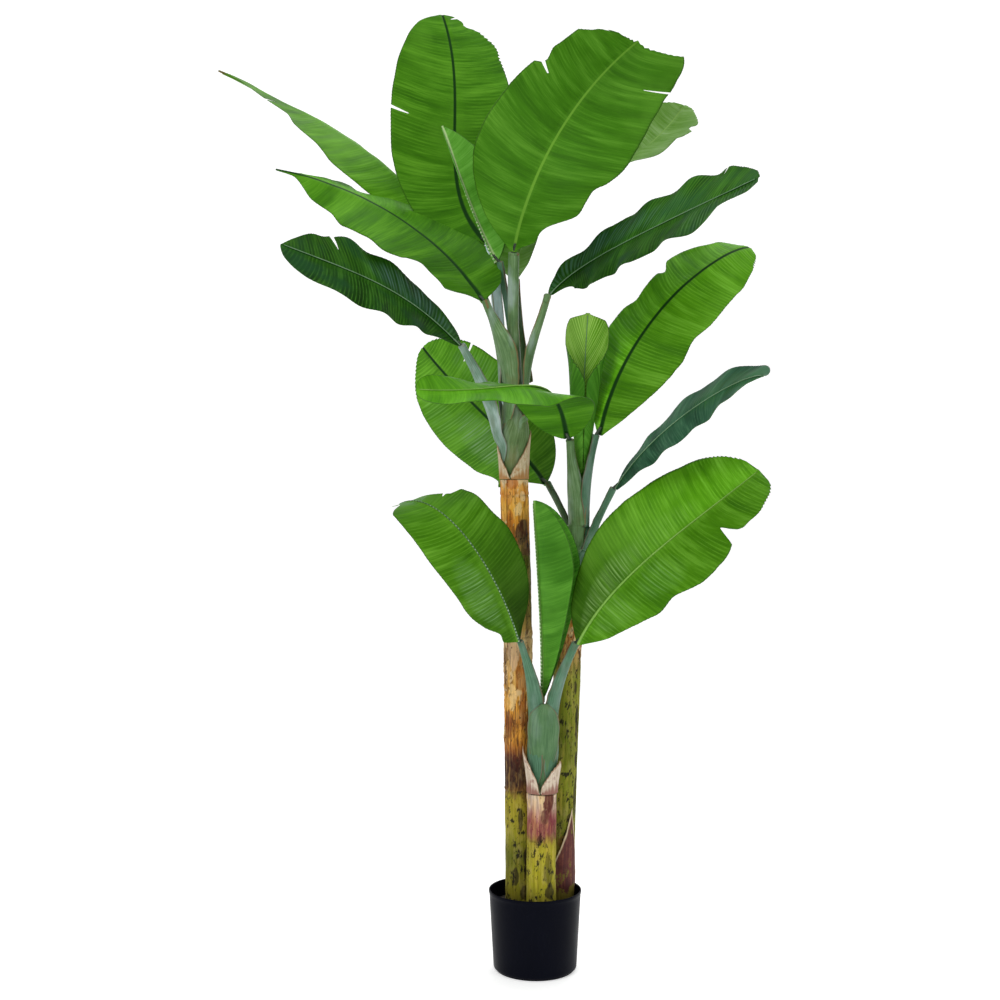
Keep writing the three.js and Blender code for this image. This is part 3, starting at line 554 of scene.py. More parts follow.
# ------------------------------------------------------------------ leaves
class Leaf:
    def __init__(self, s):
        self.s = s
        self.P = np.array(s["rib"], float)
        t = np.linspace(0, 1, 201)
        p = bez(self.P, t)
        d = np.r_[0, np.cumsum(np.linalg.norm(np.diff(p, axis=0), axis=1))]
        self.L, self.t, self.d = d[-1], t, d / d[-1]

    def width(self, u, side=1):
        s = self.s
        u = np.asarray(u, float)
        k = s.get("side", (1, 1))[0 if side < 0 else 1]
        if "widths" in s:
            return k * s["half"] * np.maximum(0, smooth_table(s["widths"], 1, np.clip(u, 0, 1), 0.05)) * np.sqrt(np.clip((1.0 - u) / 0.04, 0, 1))
        m, p1, q1, p2, q2 = s["form"]
        a = np.clip(1 - np.clip((m - u) / m, 0, 1) ** p1, 0, 1) ** (1 / q1)
        b = np.clip(1 - np.clip((u - m) / (1 - m), 0, 1) ** p2, 0, 1) ** (1 / q2)
        return k * s["half"] * np.where(u < m, a, b)

    def frame(self, u):
        s = self.s
        uc = np.clip(u, 0, 1)
        t = np.interp(uc, self.d, self.t)
        M, T = bez(self.P, t), unit(bezd(self.P, t))
        M = M + T * ((u - uc) * self.L)[..., None]
        rows = []
        for r in s["face"]:
            az, el = math.radians(r[1]), math.radians(r[2])
            rows.append([r[0], math.sin(az) * math.cos(el), -math.cos(az) * math.cos(el), math.sin(el)])
        fc = np.stack([smooth_table(rows, i, uc, 0.08) for i in (1, 2, 3)], -1) if len(rows) > 1 else np.broadcast_to(np.array(rows[0][1:]), M.shape)
        fc = unit(fc)
        N = unit(fc - (T * fc).sum(-1, keepdims=True) * T)
        S = np.cross(T, N)
        a = math.radians(s["twist"]) * (u - 0.5)
        c, n = np.cos(a)[..., None], np.sin(a)[..., None]
        return M, T, N * c + S * n, S * c - N * n

    def point(self, u, y, h=0.0):
        """Point of the blade at u along the rib, y mm across it, h mm above its surface."""
        u, y, h = np.broadcast_arrays(np.asarray(u, float), np.asarray(y, float), np.asarray(h, float))
        s = self.s
        M, T, N, S = self.frame(u)
        uc = np.clip(u, 0, 1)
        right = y >= 0
        tab = lambda rows: np.radians(np.where(right, smooth_table(rows, 2, uc, 0.04), smooth_table(rows, 1, uc, 0.04)))
        f = tab(s["fold"])
        k = tab(s["curl"]) / s["half"]
        d = np.abs(y)
        k = np.where(np.abs(k) < 1e-6, 1e-6, k)
        X = (np.sin(f + k * d) - np.sin(f)) / k
        Z = (np.cos(f) - np.cos(f + k * d)) / k
        a = (f + k * d) * np.clip(d / 6.0, 0, 1)
        sg = np.where(right, 1.0, -1.0)
        return M + S * (sg * (X - h * np.sin(a)))[..., None] + N * (Z + h * np.cos(a))[..., None]


LEAVES = {
    "tall_leaf_1": dict(rib=[[-184, 108, 1431], [-252, 152, 1590], [-430, 204, 1690], [-638, 136, 1771]], face=[[0, -18, 80]], twist=24, half=108, fold=[[0, -18, -58], [0.5, -18, -12], [1, -18, 18]], curl=[[0, 0, 0]], form=[0.46, 2, 1.29, 2.2, 1.68]),
    "tall_leaf_2": dict(rib=[[-93, 66, 1409], [-211, 134, 1532], [-120, 126, 1704], [-185, 160, 1893]], face=[[0, 17, 0]], twist=30, half=130, fold=[[0, 0, -4]], curl=[[0, 0, 0]], form=[0.55, 2, 1.67, 2.2, 2.16]),
    "tall_leaf_3": dict(rib=[[-41, -38, 1372], [7, -114, 1627], [208, -107, 1771], [206, -256, 1719]], face=[[0, 143, 59]], twist=41, half=137, fold=[[0, -28, -15]], curl=[[0, 0, 0]], form=[0.36, 2, 1.12, 2.2, 2.69]),
    "tall_leaf_4": dict(rib=[[-38, 70, 1338], [-22, 97, 1529], [184, 123, 1521], [304, 126, 1698]], face=[[0, -5, 69]], twist=42, half=115, fold=[[0, 13, 18]], curl=[[0, 0, 0]], form=[0.55, 2, 1.51, 2.2, 2.08]),
    "tall_leaf_5": dict(rib=[[-73, 20, 1363], [-110, 18, 1434], [-141, 8, 1519], [-179, 5, 1623]], face=[[0, 78, 0]], twist=0, half=82, fold=[[0, 72, 58]], curl=[[0, 15, 15]], form=[0.45, 1.6, 1.3, 1.6, 1.15]),
    "tall_leaf_6": dict(rib=[[-101, -40, 1279], [-151, 44, 1371], [-274, 24, 1500], [-500, 5, 1542]], face=[[0, 5, 52], [0.5, 18, 55], [1, 40, 34]], twist=0, half=115, fold=[[0, 23, 16], [1, -35, -34]], curl=[[0, 0, 0]], widths=[[0, 0], [0.05, 0.45], [0.15, 0.7], [0.3, 0.85], [0.5, 1.03], [0.7, 0.75], [0.82, 0.49], [0.9, 0.2], [0.95, 0.06], [1, 0.03]]),
    "tall_leaf_7": dict(rib=[[-145, -60, 1191], [-251, -47, 1303], [-321, -178, 1305], [-458, -200, 1355]], face=[[0, 61, 36]], twist=3, half=106, fold=[[0, 3, 1]], curl=[[0, 0, 0]], form=[0.58, 2, 1.52, 2.2, 1.97]),
    "tall_leaf_8": dict(rib=[[30, -10, 1293], [78, 67, 1363], [175, -119, 1382], [379, -277, 1455]], face=[[0, -43, 36]], twist=-14, half=122, fold=[[0, -8, 14]], curl=[[0, 0, 0]], form=[0.66, 2, 1.29, 2.2, 1.85]),
    "middle_leaf_1": dict(rib=[[21, 62, 933], [-19, 148, 1011], [-139, 145, 1098], [-228, 209, 1219]], face=[[0, -2, -4]], twist=-39, half=104, fold=[[0, -2, 5]], curl=[[0, 0, 0]], form=[0.47, 2, 1.11, 2.2, 2.01]),
    "middle_leaf_2": dict(rib=[[61, -12, 1018], [34, -158, 1162], [-22, -197, 1081], [-214, -249, 1092]], face=[[0, 180, 28], [0.27, 180, 66], [0.48, 0, 68], [0.7, -45, 72], [1, -23, 53]], twist=0, half=74, fold=[[0, -2, -2], [0.5, -18, -8], [1, -5, 31]], curl=[[0, 0, 0]], form=[0.32, 2, 1.5, 2.2, 2.7]),
    "middle_leaf_3": dict(rib=[[94, 30, 917], [91, 32, 1038], [97, 40, 1155], [104, 34, 1266]], face=[[0, 0, 0]], twist=0, half=96, fold=[[0, 0, 0]], curl=[[0, 900, 900], [0.03, 786, 786], [0.1, 520, 520], [0.17, 393, 393], [0.33, 300, 300], [0.5, 208, 208], [0.6, 180, 180], [0.8, 130, 130], [1, 126, 126]], widths=[[0, 0.2], [0.03, 0.226], [0.1, 0.343], [0.17, 0.453], [0.33, 0.593], [0.5, 0.854], [0.6, 0.985], [0.68, 0.96], [0.75, 0.82], [0.82, 0.72], [0.9, 0.61], [0.96, 0.43], [0.99, 0.22], [1, 0]]),
    "middle_leaf_4": dict(rib=[[124, 5, 1026], [168, -5, 1245], [336, -50, 1374], [423, 52, 1399]], face=[[0, -16, 24]], twist=13, half=92, fold=[[0, -24, -11]], curl=[[0, 0, 0]], form=[0.43, 2, 1.14, 2.2, 2.33]),
    "middle_leaf_5": dict(rib=[[155, -20, 922], [223, -52, 1041], [374, -111, 1131], [393, -241, 1117]], face=[[0, -15, 45]], twist=41, half=88, fold=[[0, -21, 15]], curl=[[0, 0, 0]], form=[0.62, 2, 1.76, 2.2, 1.99]),
    "short_leaf_1": dict(rib=[[-34, -75, 637], [-76, -163, 786], [-180, -162, 927], [-254, -69, 892]], face=[[0, 5, 51]], twist=34, half=98, fold=[[0, 1, 2]], curl=[[0, 0, 0]], form=[0.55, 2, 1.13, 2.2, 1.92]),
    "short_leaf_2": dict(rib=[[14, -42, 518], [18, -46, 636], [4, -52, 778], [-3, -50, 900]], face=[[0, 80, 0]], twist=0, half=80, fold=[[0, 58, 64]], curl=[[0, 10, 25]], form=[0.66, 1.3, 1, 2, 1.7]),
    "short_leaf_3": dict(rib=[[80, -75, 632], [135, -128, 757], [269, -127, 843], [408, -129, 954]], face=[[0, -29, 26]], twist=-32, half=120, fold=[[0, 9, 12]], curl=[[0, 0, 0]], form=[0.57, 2, 1.17, 2.2, 2.73]),
}

# Uneven outlines: the half width in mm at a few stations along the rib, on the side where y is negative (-1) or
# positive (1). Two stations close together are a slit or a notch.
EDGES = {
    "middle_leaf_1": {-1: [[0.0, 4], [0.126, 64], [0.137, 81], [0.181, 74], [0.347, 94], [0.557, 102], [0.723, 97], [0.834, 83], [0.945, 45], [0.989, 21], [1.0, 6]], 1: [[0.0, 4], [0.104, 47], [0.214, 77], [0.347, 98], [0.469, 104], [0.712, 96], [0.856, 78], [0.956, 44], [0.989, 22], [1.0, 6]]},
    "middle_leaf_4": {-1: [[0.0, 4], [0.092, 40], [0.17, 62], [0.402, 100], [0.458, 97], [0.524, 78], [0.635, 83], [0.657, 72], [0.712, 96], [0.779, 89], [0.9, 55], [0.945, 56], [0.989, 26], [1.0, 7]], 1: [[0.0, 6], [0.092, 44], [0.247, 83], [0.402, 98], [0.524, 89], [0.602, 93], [0.801, 79], [0.889, 61], [0.989, 25], [1.0, 5]]},
    "middle_leaf_5": {-1: [[0.0, 8], [0.081, 50], [0.2, 66], [0.292, 64], [0.358, 90], [0.402, 107], [0.524, 92], [0.568, 106], [0.734, 84], [0.86, 44], [0.95, 15], [1.0, 1]], 1: [[0.0, 9], [0.059, 34], [0.391, 91], [0.48, 81], [0.734, 80], [0.86, 46], [0.95, 16], [1.0, 1]]},
    "short_leaf_1": {-1: [[0.0, 4], [0.059, 33], [0.081, 33], [0.181, 61], [0.336, 88], [0.668, 102], [0.845, 80], [0.934, 23], [0.956, 14], [0.967, 31], [0.989, 18], [1.0, 5]], 1: [[0.0, 4], [0.159, 53], [0.325, 83], [0.469, 96], [0.591, 87], [0.757, 101], [0.812, 99], [0.823, 69], [0.934, 37], [0.967, 37], [0.989, 21], [1.0, 6]]},
    "short_leaf_3": {-1: [[0.0, 5], [0.115, 50], [0.247, 86], [0.413, 114], [0.546, 124], [0.823, 114], [0.878, 104], [0.923, 90], [0.967, 66], [0.989, 44], [1.0, 6]], 1: [[0.0, 5], [0.104, 49], [0.281, 95], [0.358, 108], [0.413, 106], [0.557, 137], [0.668, 127], [0.723, 113], [0.734, 58], [0.779, 97], [0.801, 103], [0.856, 102], [0.956, 80], [0.978, 66], [0.989, 50], [1.0, 7]]},
    "tall_leaf_1": {-1: [[0.0, 6], [0.07, 41], [0.159, 70], [0.402, 122], [0.447, 125], [0.546, 111], [0.646, 120], [0.712, 90], [0.757, 90], [0.911, 55], [0.967, 32], [1.0, 6]]},
    "tall_leaf_2": {-1: [[0.0, 11], [0.037, 38], [0.081, 60], [0.214, 98], [0.436, 131], [0.579, 134], [0.768, 123], [0.889, 97], [0.967, 63], [0.989, 37], [1.0, 7]], 1: [[0.0, 11], [0.037, 38], [0.081, 60], [0.214, 98], [0.38, 122], [0.568, 130], [0.867, 114], [0.934, 80], [0.956, 46], [0.967, 45], [0.989, 29], [1.0, 5]]},
    "tall_leaf_3": {-1: [[0.0, 8], [0.015, 17], [0.059, 64], [0.092, 67], [0.203, 131], [0.303, 121], [0.358, 134], [0.458, 143], [0.701, 123], [0.867, 98], [0.923, 82], [0.967, 60], [0.989, 40], [1.0, 6]], 1: [[0.0, 7], [0.092, 67], [0.181, 106], [0.27, 129], [0.369, 137], [0.568, 134], [0.591, 117], [0.646, 129], [0.757, 128], [0.801, 102], [0.845, 88], [0.856, 56], [0.867, 80], [0.956, 67], [0.989, 40], [1.0, 6]]},
    "tall_leaf_4": {1: [[0.0, 11], [0.059, 48], [0.247, 91], [0.325, 102], [0.602, 115], [0.712, 109], [0.812, 93], [0.834, 94], [0.845, 108], [0.878, 118], [0.889, 97], [0.9, 93], [0.911, 103], [0.978, 47], [0.989, 36], [1.0, 13]]},
    "tall_leaf_6": {-1: [[0.0, 9], [0.026, 33], [0.037, 61], [0.059, 76], [0.247, 80], [0.314, 102], [0.336, 116], [0.413, 131], [0.546, 105], [0.657, 102], [0.734, 73], [0.834, 48], [0.934, 8], [1.0, 4]], 1: [[0.0, 8], [0.059, 54], [0.148, 79], [0.502, 117], [0.591, 104], [0.69, 65], [0.701, 65], [0.734, 94], [0.768, 98], [0.801, 66], [0.823, 63], [0.856, 36], [0.9, 24], [0.923, 29], [0.945, 11], [1.0, 6]]},
    "tall_leaf_7": {-1: [[0.0, 7], [0.159, 73], [0.325, 101], [0.524, 109], [0.734, 107], [0.911, 84], [0.967, 54], [1.0, 5]], 1: [[0.0, 9], [0.026, 33], [0.092, 57], [0.203, 66], [0.281, 102], [0.491, 100], [0.591, 110], [0.867, 81], [0.956, 49], [1.0, 5]]},
    "tall_leaf_8": {-1: [[0.0, 5], [0.081, 34], [0.126, 68], [0.181, 60], [0.281, 83], [0.336, 109], [0.424, 105], [0.646, 133], [0.79, 122], [0.889, 99], [0.967, 49], [1.0, 9]], 1: [[0.0, 6], [0.06, 38], [0.14, 72], [0.25, 98], [0.347, 124], [0.413, 108], [0.557, 136], [0.624, 108], [0.768, 136], [0.864, 118], [0.872, 58], [0.978, 50], [1.0, 13]]},
}

# What each leaf shows: front, the material of the side its normal points to, and back; rib_up, 1 if the
# raised rib is on the front; wave, size in mm and number of edge ripples; tears (side, place along the edge,
# depth from the edge 0..1, opening in mm); teeth, size of the notches at the tip in mm.
# Brightness factors paint light and shade onto a leaf's front; sheen patches paint sheen highlights onto it.
LOOK = {
    "tall_leaf_1": dict(painted_light_shade=(1.2, 0.85, 1.2, 0.9), front="tip", back="tip", rib_up=-1, wave=(1.6, 3.3, 0.4), tears=[(-1, 0.80, 0.5, 5)], rough_edge=1.6),
    "tall_leaf_2": dict(swell=0.6, teeth_at=(0.72, 0.80), teeth_side=1, front="green_c", back="under", rib_up=-1, wave=(3, 2.4, 1.0), tears=[(-1, 0.575, 0.25, 5), (1, 0.985, 0.4, 4)], teeth=4.8, vein=0.24),
    "tall_leaf_3": dict(swell=0.55, teeth_at=(0.74, 0.80), teeth_side=1, rib_r=2.1, painted_light_shade=(0.60, 1.10, 0.70, 1.02), bead=0.13, front="ridge", back="under", rib_up=1, wave=(3.5, 2.7, 2.2), tears=[(1, 0.585, 0.20, 4), (-1, 0.80, 0.29, 4)], teeth=5.0, rough_edge=1.6, vein=0.20, trim=0.84, reach=(0.95, 0.865)),
    # painted light shining through this leaf: it is coloured pale
    "tall_leaf_4": dict(painted_light_shade=(1.0, 0.88, 1.0, 0.88), front="pale", back="pale", rib_up=-1, wave=(6, 3.1, 0.0), teeth=2.8),
    "tall_leaf_5": dict(painted_light_shade=(0.45, 1.4, 0.45, 1.4), bead=0.14, front="fresh", back="fresh", rib_up=-1, wave=(1.5, 1.5, 0.0), rib="part", vein=0.15),
    "tall_leaf_6": dict(painted_light_shade=(0.85, 1.05, 0.85, 1.35), front="green", back="under", rib_up=-1, wave=(2.5, 3.0, 1.7), vein=0.24),
    "tall_leaf_7": dict(rib="mid", rib_r=1.25, ease=0.45, painted_light_shade=(0.8, 0.95, 1.0, 0.9), sheen_zones=[(0.28, 0.5, 0.30, 0.5, (0.080, 0.165, 0.130), 0.95), (0.85, 0.5, 0.4, 0.9, (0.030, 0.105, 0.003), 0.5)], front="deep", back="teal", rib_up=1, wave=(4.0, 4.2, 0.8), tears=[(1, 0.72, 0.34, 9)], teeth=2.2, vein=0.5, rough_edge=1.2),
    "tall_leaf_8": dict(rib="mid", rib_r=1.4, ease=0.15, painted_light_shade=(1.25, 1.25, 0.75, 1.0), sheen_zones=[(0.22, -0.55, 0.34, 0.45, (0.075, 0.170, 0.120), 0.95), (0.55, -0.45, 0.16, 0.4, (0.060, 0.150, 0.090), 0.7), (0.85, -0.5, 0.5, 0.7, (0.055, 0.19, 0.010), 0.7), (0.92, 0.5, 0.3, 0.7, (0.07, 0.17, 0.07), 0.6)], front="deep", back="teal", rib_up=1, wave=(6.0, 5.2, 0.2), tears=[(-1, 0.80, 0.18, 3)], teeth=3.0, vein=0.4, rough_edge=2.4),
    "middle_leaf_1": dict(painted_light_shade=(1.15, 1.25, 0.62, 1.30), sheen_zones=[(0.38, -0.38, 0.26, 0.42, (0.30, 0.50, 0.24), 0.75), (0.68, -0.7, 0.22, 0.3, (0.20, 0.46, 0.10), 0.5), (0.68, 0.6, 0.2, 0.4, (0.20, 0.42, 0.12), 0.5), (0.15, -0.5, 0.2, 0.6, (0.06, 0.20, 0.05), 0.6)], front="bright", back="under", rib_up=-1, wave=(3, 2.2, 0.5), tears=[(1, 0.80, 0.4, 4)], teeth=3.4, vein=0.5),
    "middle_leaf_2": dict(rib_to=0.42, painted_light_shade=(1.2, 1.6, 1.0, 1.3), sheen_zones=[(0.95, 0.0, 0.35, 1.6, (0.10, 0.33, 0.008), 0.6)], front="green", back="green", rib_up=1, wave=(2.5, 2.6, 1.2)),
    "middle_leaf_3": dict(painted_light_shade=(0.7, 1.15, 1.1, 1.3), bead=0.14, front="hood", back="young", rib_up=1, wave=(0.4, 1.0, 0.0), teeth=4.0, teeth_at=(0.62, 0.72), vein=0.45, rib="mid", sweep=2.3, bend=1.0, rib_r=1.5),
    "middle_leaf_4": dict(painted_light_shade=(1.9, 1.35, 0.9, 1.35), sheen_zones=[(0.25, -0.6, 0.3, 0.5, (0.15, 0.34, 0.09), 0.5), (0.95, 0.3, 0.2, 0.7, (0.17, 0.38, 0.06), 0.5)], front="spring", back="under", rib_up=-1, wave=(3, 3.4, 2.0), teeth=5.0, teeth_at=(0.86, 0.93), rough_edge=1.6),
    "middle_leaf_5": dict(rib="mid", rib_r=1.5, ease=0.3, painted_light_shade=(1.0, 0.9, 0.95, 0.90), sheen_zones=[(0.8, -0.2, 0.4, 0.8, (0.035, 0.14, 0.008), 0.7)], front="teal", back="teal", rib_up=1, wave=(3.2, 4.8, 0.6), vein=0.35, rough_edge=1.2),
    "short_leaf_1": dict(rib="dots", rib_r=1.9, bead=0.12, painted_light_shade=(0.60, 1.0, 0.16, 0.95), sheen_zones=[(1.0, 0.0, 0.16, 1.2, (0.26, 0.42, 0.34), 0.9), (0.32, -0.5, 0.24, 0.42, (0.24, 0.44, 0.17), 0.6)], front="ridge_b", back="under", rib_up=1, wave=(3, 2.8, 1.1), tears=[(1, 0.84, 0.12, 4)], vein=0.36, rough_edge=1.0),
    "short_leaf_2": dict(painted_light_shade=(0.65, 1.3, 0.62, 1.25), bead=0.14, front="young", back="young", rib_up=-1, wave=(1.2, 2.0, 0.0), rib="white", vein=0.2),
    "short_leaf_3": dict(painted_light_shade=(0.35, 1.5, 0.95, 1.0), sheen_zones=[(0.20, 0.42, 0.14, 0.5, (0.26, 0.48, 0.14), 0.42), (0.44, 0.45, 0.12, 0.45, (0.22, 0.46, 0.12), 0.42), (0.26, -0.25, 0.22, 0.3, (0.30, 0.50, 0.16), 0.5), (0.55, -0.25, 0.22, 0.25, (0.22, 0.46, 0.08), 0.4)], front="ridge_b", back="under", rib_up=1, wave=(3, 3.2, 0.9), teeth=6.0, teeth_at=(0.86, 0.93), vein=0.3, rough_edge=1.8),
}
THICK = 0.7
ROWS_PER_VEIN = 4
ACROSS = 17


def smooth_curve(tab, x):
    """Curve through the stations with no overshoot: slopes are the harmonic mean of the slopes on either side."""
    X, Y = np.array(tab, float).T
    h = np.maximum(np.diff(X), 1e-6)
    d = np.diff(Y) / h
    m = np.zeros(len(X))
    ok = d[:-1] * d[1:] > 0
    m[1:-1][ok] = (2 * d[:-1] * d[1:])[ok] / (d[:-1] + d[1:])[ok]
    m[0], m[-1] = d[0], d[-1]
    i = np.clip(np.searchsorted(X, x, side="right") - 1, 0, len(h) - 1)
    t = np.clip((x - X[i]) / h[i], 0, 1)
    a, b = Y[i], Y[i + 1]
    return (2 * t**3 - 3 * t**2 + 1) * a + (t**3 - 2 * t**2 + t) * h[i] * m[i] + (-2 * t**3 + 3 * t**2) * b + (t**3 - t**2) * h[i] * m[i + 1]


def build_leaf(name, seed):
    s, look = LEAVES[name], LOOK[name]
    lf = Leaf(s)
    L = lf.L
    nveins = int(round(L / VEIN))
    rows = nveins * ROWS_PER_VEIN + 1
    # rows are even along the rib; out at the margin they close up towards the tip, so the round tip stays round
    sv = np.linspace(0, 1, rows)
    jb = np.linspace(0, 1, ACROSS) ** 0.85
    amp, count, phase = look.get("wave", (3, 3, 0))
    edge_amp = look.get("rough_edge", 0.8)
    teeth = look.get("teeth", 0.0)
    rib_up = look["rib_up"]
    halves = []
    trim = look.get("trim", 1.0)
    for side in (-1, 1):
        reach = look.get("reach", (1.0, 1.0))[0 if side < 0 else 1]
        e = reach * (1 - (1 - sv) ** look.get("sweep", 1.14))
        st = sv * trim
        u = st[:, None] + (e - st)[:, None] * jb[None] ** look.get("bend", 1.7)
        w = np.maximum(lf.width(e, side), 4.0)
        tab = EDGES.get(name, {}).get(side)
        if tab:
            ease = look.get("ease", 0.0)
            w = (1 - ease) * np.maximum(smooth_curve(tab, e), 3.0) + ease * w
        # uneven outline, small notches where veins end, and teeth near the tip
        w = w + edge_amp * (0.8 if tab else 1.0) * fbm(e * L / 26.0, side * 5.0, seed, seed, 3) * step(e, 0.03, 0.15)
        w = w - 0.5 * (0.5 - 0.5 * np.cos(2 * np.pi * sv * nveins)) * step(e, 0.03, 0.2)
        if teeth and look.get("teeth_side", side) == side:
            tz = step(e, *look.get("teeth_at", (0.80, 0.90)))
            saw = np.mod(sv * nveins, 1.0)
            w = w - teeth * tz * np.where(saw < 0.65, saw / 0.65, (1 - saw) / 0.35) * (0.8 + 0.7 * noise(sv * nveins * 0.5, seed)) * step(noise(sv * nveins / 7.0, seed + 2.0), -0.7, 0.0)
        w = np.maximum(w, 3.0)
        y = jb[None] * w[:, None]
        uu = u.copy()
        if trim < 1.0:
            # the blunt end is ragged too
            zig = (np.arange(ACROSS) % 2) * (0.7 + 0.5 * noise(jb * 9.0, seed + side))
            zig[-1] = 0.0
            for back_, part in ((0, 1.0), (1, 0.75), (2, 0.45), (3, 0.2)):
                uu[rows - 1 - back_] -= part * zig * teeth * 0.9 / L
        keep = np.ones((rows - 1, ACROSS - 1), bool)
        for (sd, place, depth, opening) in look.get("tears", []):
            if sd != side:
                continue
            i = int(np.argmin(np.abs(e - place)))
            b0 = 1 - depth
            prof = np.clip((jb - b0) / depth, 0, 1) ** 0.8 * opening / 2 / L
            dist = np.arange(rows) - i
            back = np.where(dist <= 0, np.exp(dist / 7.0), 0.0)
            fore = np.where(dist > 0, np.exp(-(dist - 1) / 7.0), 0.0)
            uu += prof[None] * (fore - back)[:, None] * (1 if i < rows - 30 else 0.5)
            j0 = int(np.argmax(jb > b0))
            keep[i, max(j0 - 1, 0):] = False
        # height of the surface over the plain blade
        b = jb[None]
        ph = 2 * np.pi * sv[:, None] * nveins
        vein = look.get("vein", 0.32)
        fade = step(b, 0.02, 0.12) * (1 - 0.5 * step(b, 0.9, 1.0)) * step(sv, 0.0, 0.05)[:, None]
        patchy = step(noise(sv[:, None] * L / 60, b * 1.6, seed + 5, seed), -0.25, 0.45)
        h = vein * ((0.5 + 0.5 * np.cos(ph)) ** 1.7 - 0.4) * fade * (0.22 + 0.9 * patchy) * (0.8 + 0.4 * noise(sv[:, None] * nveins * 0.35, b * 3, seed, seed))
        h = h + look.get("swell", 1.0) * (0.9 * noise(sv[:, None] * nveins / 4.0, b * 1.3, seed + 3, seed) + 2.4 * noise(sv[:, None] * nveins / 11.0, b * 0.9, seed + 4, seed)) * fade
        ripple = np.sin(2 * np.pi * (count * e[:, None] + 0.18 * b) + phase + 1.7 * side) + 0.55 * noise(e[:, None] * 9, side * 3.0, seed + 1, seed)
        h = h + amp * b ** 2.2 * ripple * (step(e, 0.02, 0.25) * (1 - 0.75 * step(e, 0.78, 0.97)))[:, None]
        ya = np.abs(y)
        # the blade dips into the rib from one side and stands proud on the other
        h = h + rib_up * (1.7 * np.exp(-(ya / 3.4) ** 2) - 0.9 * np.exp(-((ya - 9.0) / 5.0) ** 2) * step(w[:, None], 10, 30))
        P = lf.point(uu, side * y + side * 1e-4, h)
        uv = np.stack([np.broadcast_to(sv[:, None] * L / 100, y.shape), side * y / 100], -1)
        pl = np.stack([np.broadcast_to(uu, y.shape), np.broadcast_to(side * b, y.shape)], -1)
        halves.append((P, uv, pl, keep))
    Lp, Rp = halves
    # one sheet from left margin over the rib to the right margin
    P = np.concatenate([Lp[0][:, ::-1], Rp[0][:, 1:]], 1)
    uv = np.concatenate([Lp[1][:, ::-1], Rp[1][:, 1:]], 1)
    pl = np.concatenate([Lp[2][:, ::-1], Rp[2][:, 1:]], 1)
    mid = 0.5 * (Lp[0][:, 0] + Rp[0][:, 0])
    P[:, ACROSS - 1] = mid
    keep = np.concatenate([Lp[3][:, ::-1], Rp[3]], 1)
    nc = 2 * ACROSS - 1
    F = grid_faces(rows, nc)[keep.ravel()]
    # outward side of the sheet is the leaf's normal side
    V, Fc, (uvq, plq), kind = thicken(P.reshape(-1, 3), F[:, ::-1] if flip_needed(P, lf, rows, nc) else F, THICK, (uv.reshape(-1, 2), pl.reshape(-1, 2)))
    front = leaf_material(name + "_front", painted_light_shade=look.get("painted_light_shade"), sheen_zones=look.get("sheen_zones", ()), rib_to=look.get("rib_to"), **M_LEAF[look["front"]])
    back = leaf_material(name + "_back", rib_to=look.get("rib_to"), **M_LEAF[look["back"]])
    ob = new_object(name + "_blade", V, Fc, [front, back, M_RIM], (name,), {"veins": uvq, "place": plq}, kind)
    # raised rib with a small knuckle at each side vein
    n = nveins * 4 + 1
    u = np.linspace(0.0, look.get("rib_end", 0.985) * trim, n)
    M, T, N, S = lf.frame(u)
    r0, r1 = look.get("rib_r", 3.0), 0.85
    r = r0 + (r1 - r0) * u ** 0.8
    bead = look.get("bead", 0.05)
    knuckle = 1 + bead * np.cos(2 * np.pi * u * nveins) + (0.06 + bead * 0.5) * noise(u * nveins, seed)
    # on the front it stands on the blade; on the back it lies behind the groove
    C = M + N * (rib_up * (2.1 + 0.58 * r))[:, None]
    V2, F2, T2, uv2 = tube(C, S, N, r * 0.9 * knuckle, r * 0.75 * knuckle, 8)
    mat = {"white": M_RIB_WHITE, "dots": M_RIB_DOTS, "mid": M_RIB_MID, "part": M_RIB_PART}.get(look.get("rib"), M_RIB)
    new_object(name + "_rib", V2, F2, mat, (), {"along": uv2}, tris=T2)
    return lf


def flip_needed(P, lf, rows, nc):
    i, j = rows // 2, nc // 2
    a = P[i + 1, j] - P[i, j]
    b = P[i, j + 1] - P[i, j]
    n = np.cross(b, a)  # normal of a grid quad (row i: j -> j+1, then down)
    _, _, N, _ = lf.frame(np.array([0.5]))
    return float(np.dot(n, N[0])) < 0


leaf_of = {n: build_leaf(n, 11 + i * 7) for i, n in enumerate(sorted(LEAVES))}

# ------------------------------------------------------------------ stems
STEMS = {
    "tall": [[-28, 10, 126.5, 29], [-29.5, 10, 260, 28], [-32.6, 10, 620, 27.5], [-37, 10, 830, 27.5], [-40.5, 10, 940, 26.5]],
    "middle": [[44, 22, 126.5, 28.5], [48.5, 22, 190, 27.5], [53.5, 22, 320, 27], [64.7, 22, 620, 26.5], [77, 22, 764, 25]],
    "short": [[10.5, -37, 126.5, 28.5], [10.5, -37, 200, 27.5], [12, -37, 345, 27.5]],
}


def path_at(rows, z):
    rows = np.array(rows, float)
    t = (z - rows[0, 2]) / (rows[-1, 2] - rows[0, 2])
    tab = [[(r[2] - rows[0, 2]) / (rows[-1, 2] - rows[0, 2]), r[0], r[1], r[3]] for r in rows]
    return smooth_table(tab, 1, t, 0.1), smooth_table(tab, 2, t, 0.1), smooth_table(tab, 3, t, 0.1)


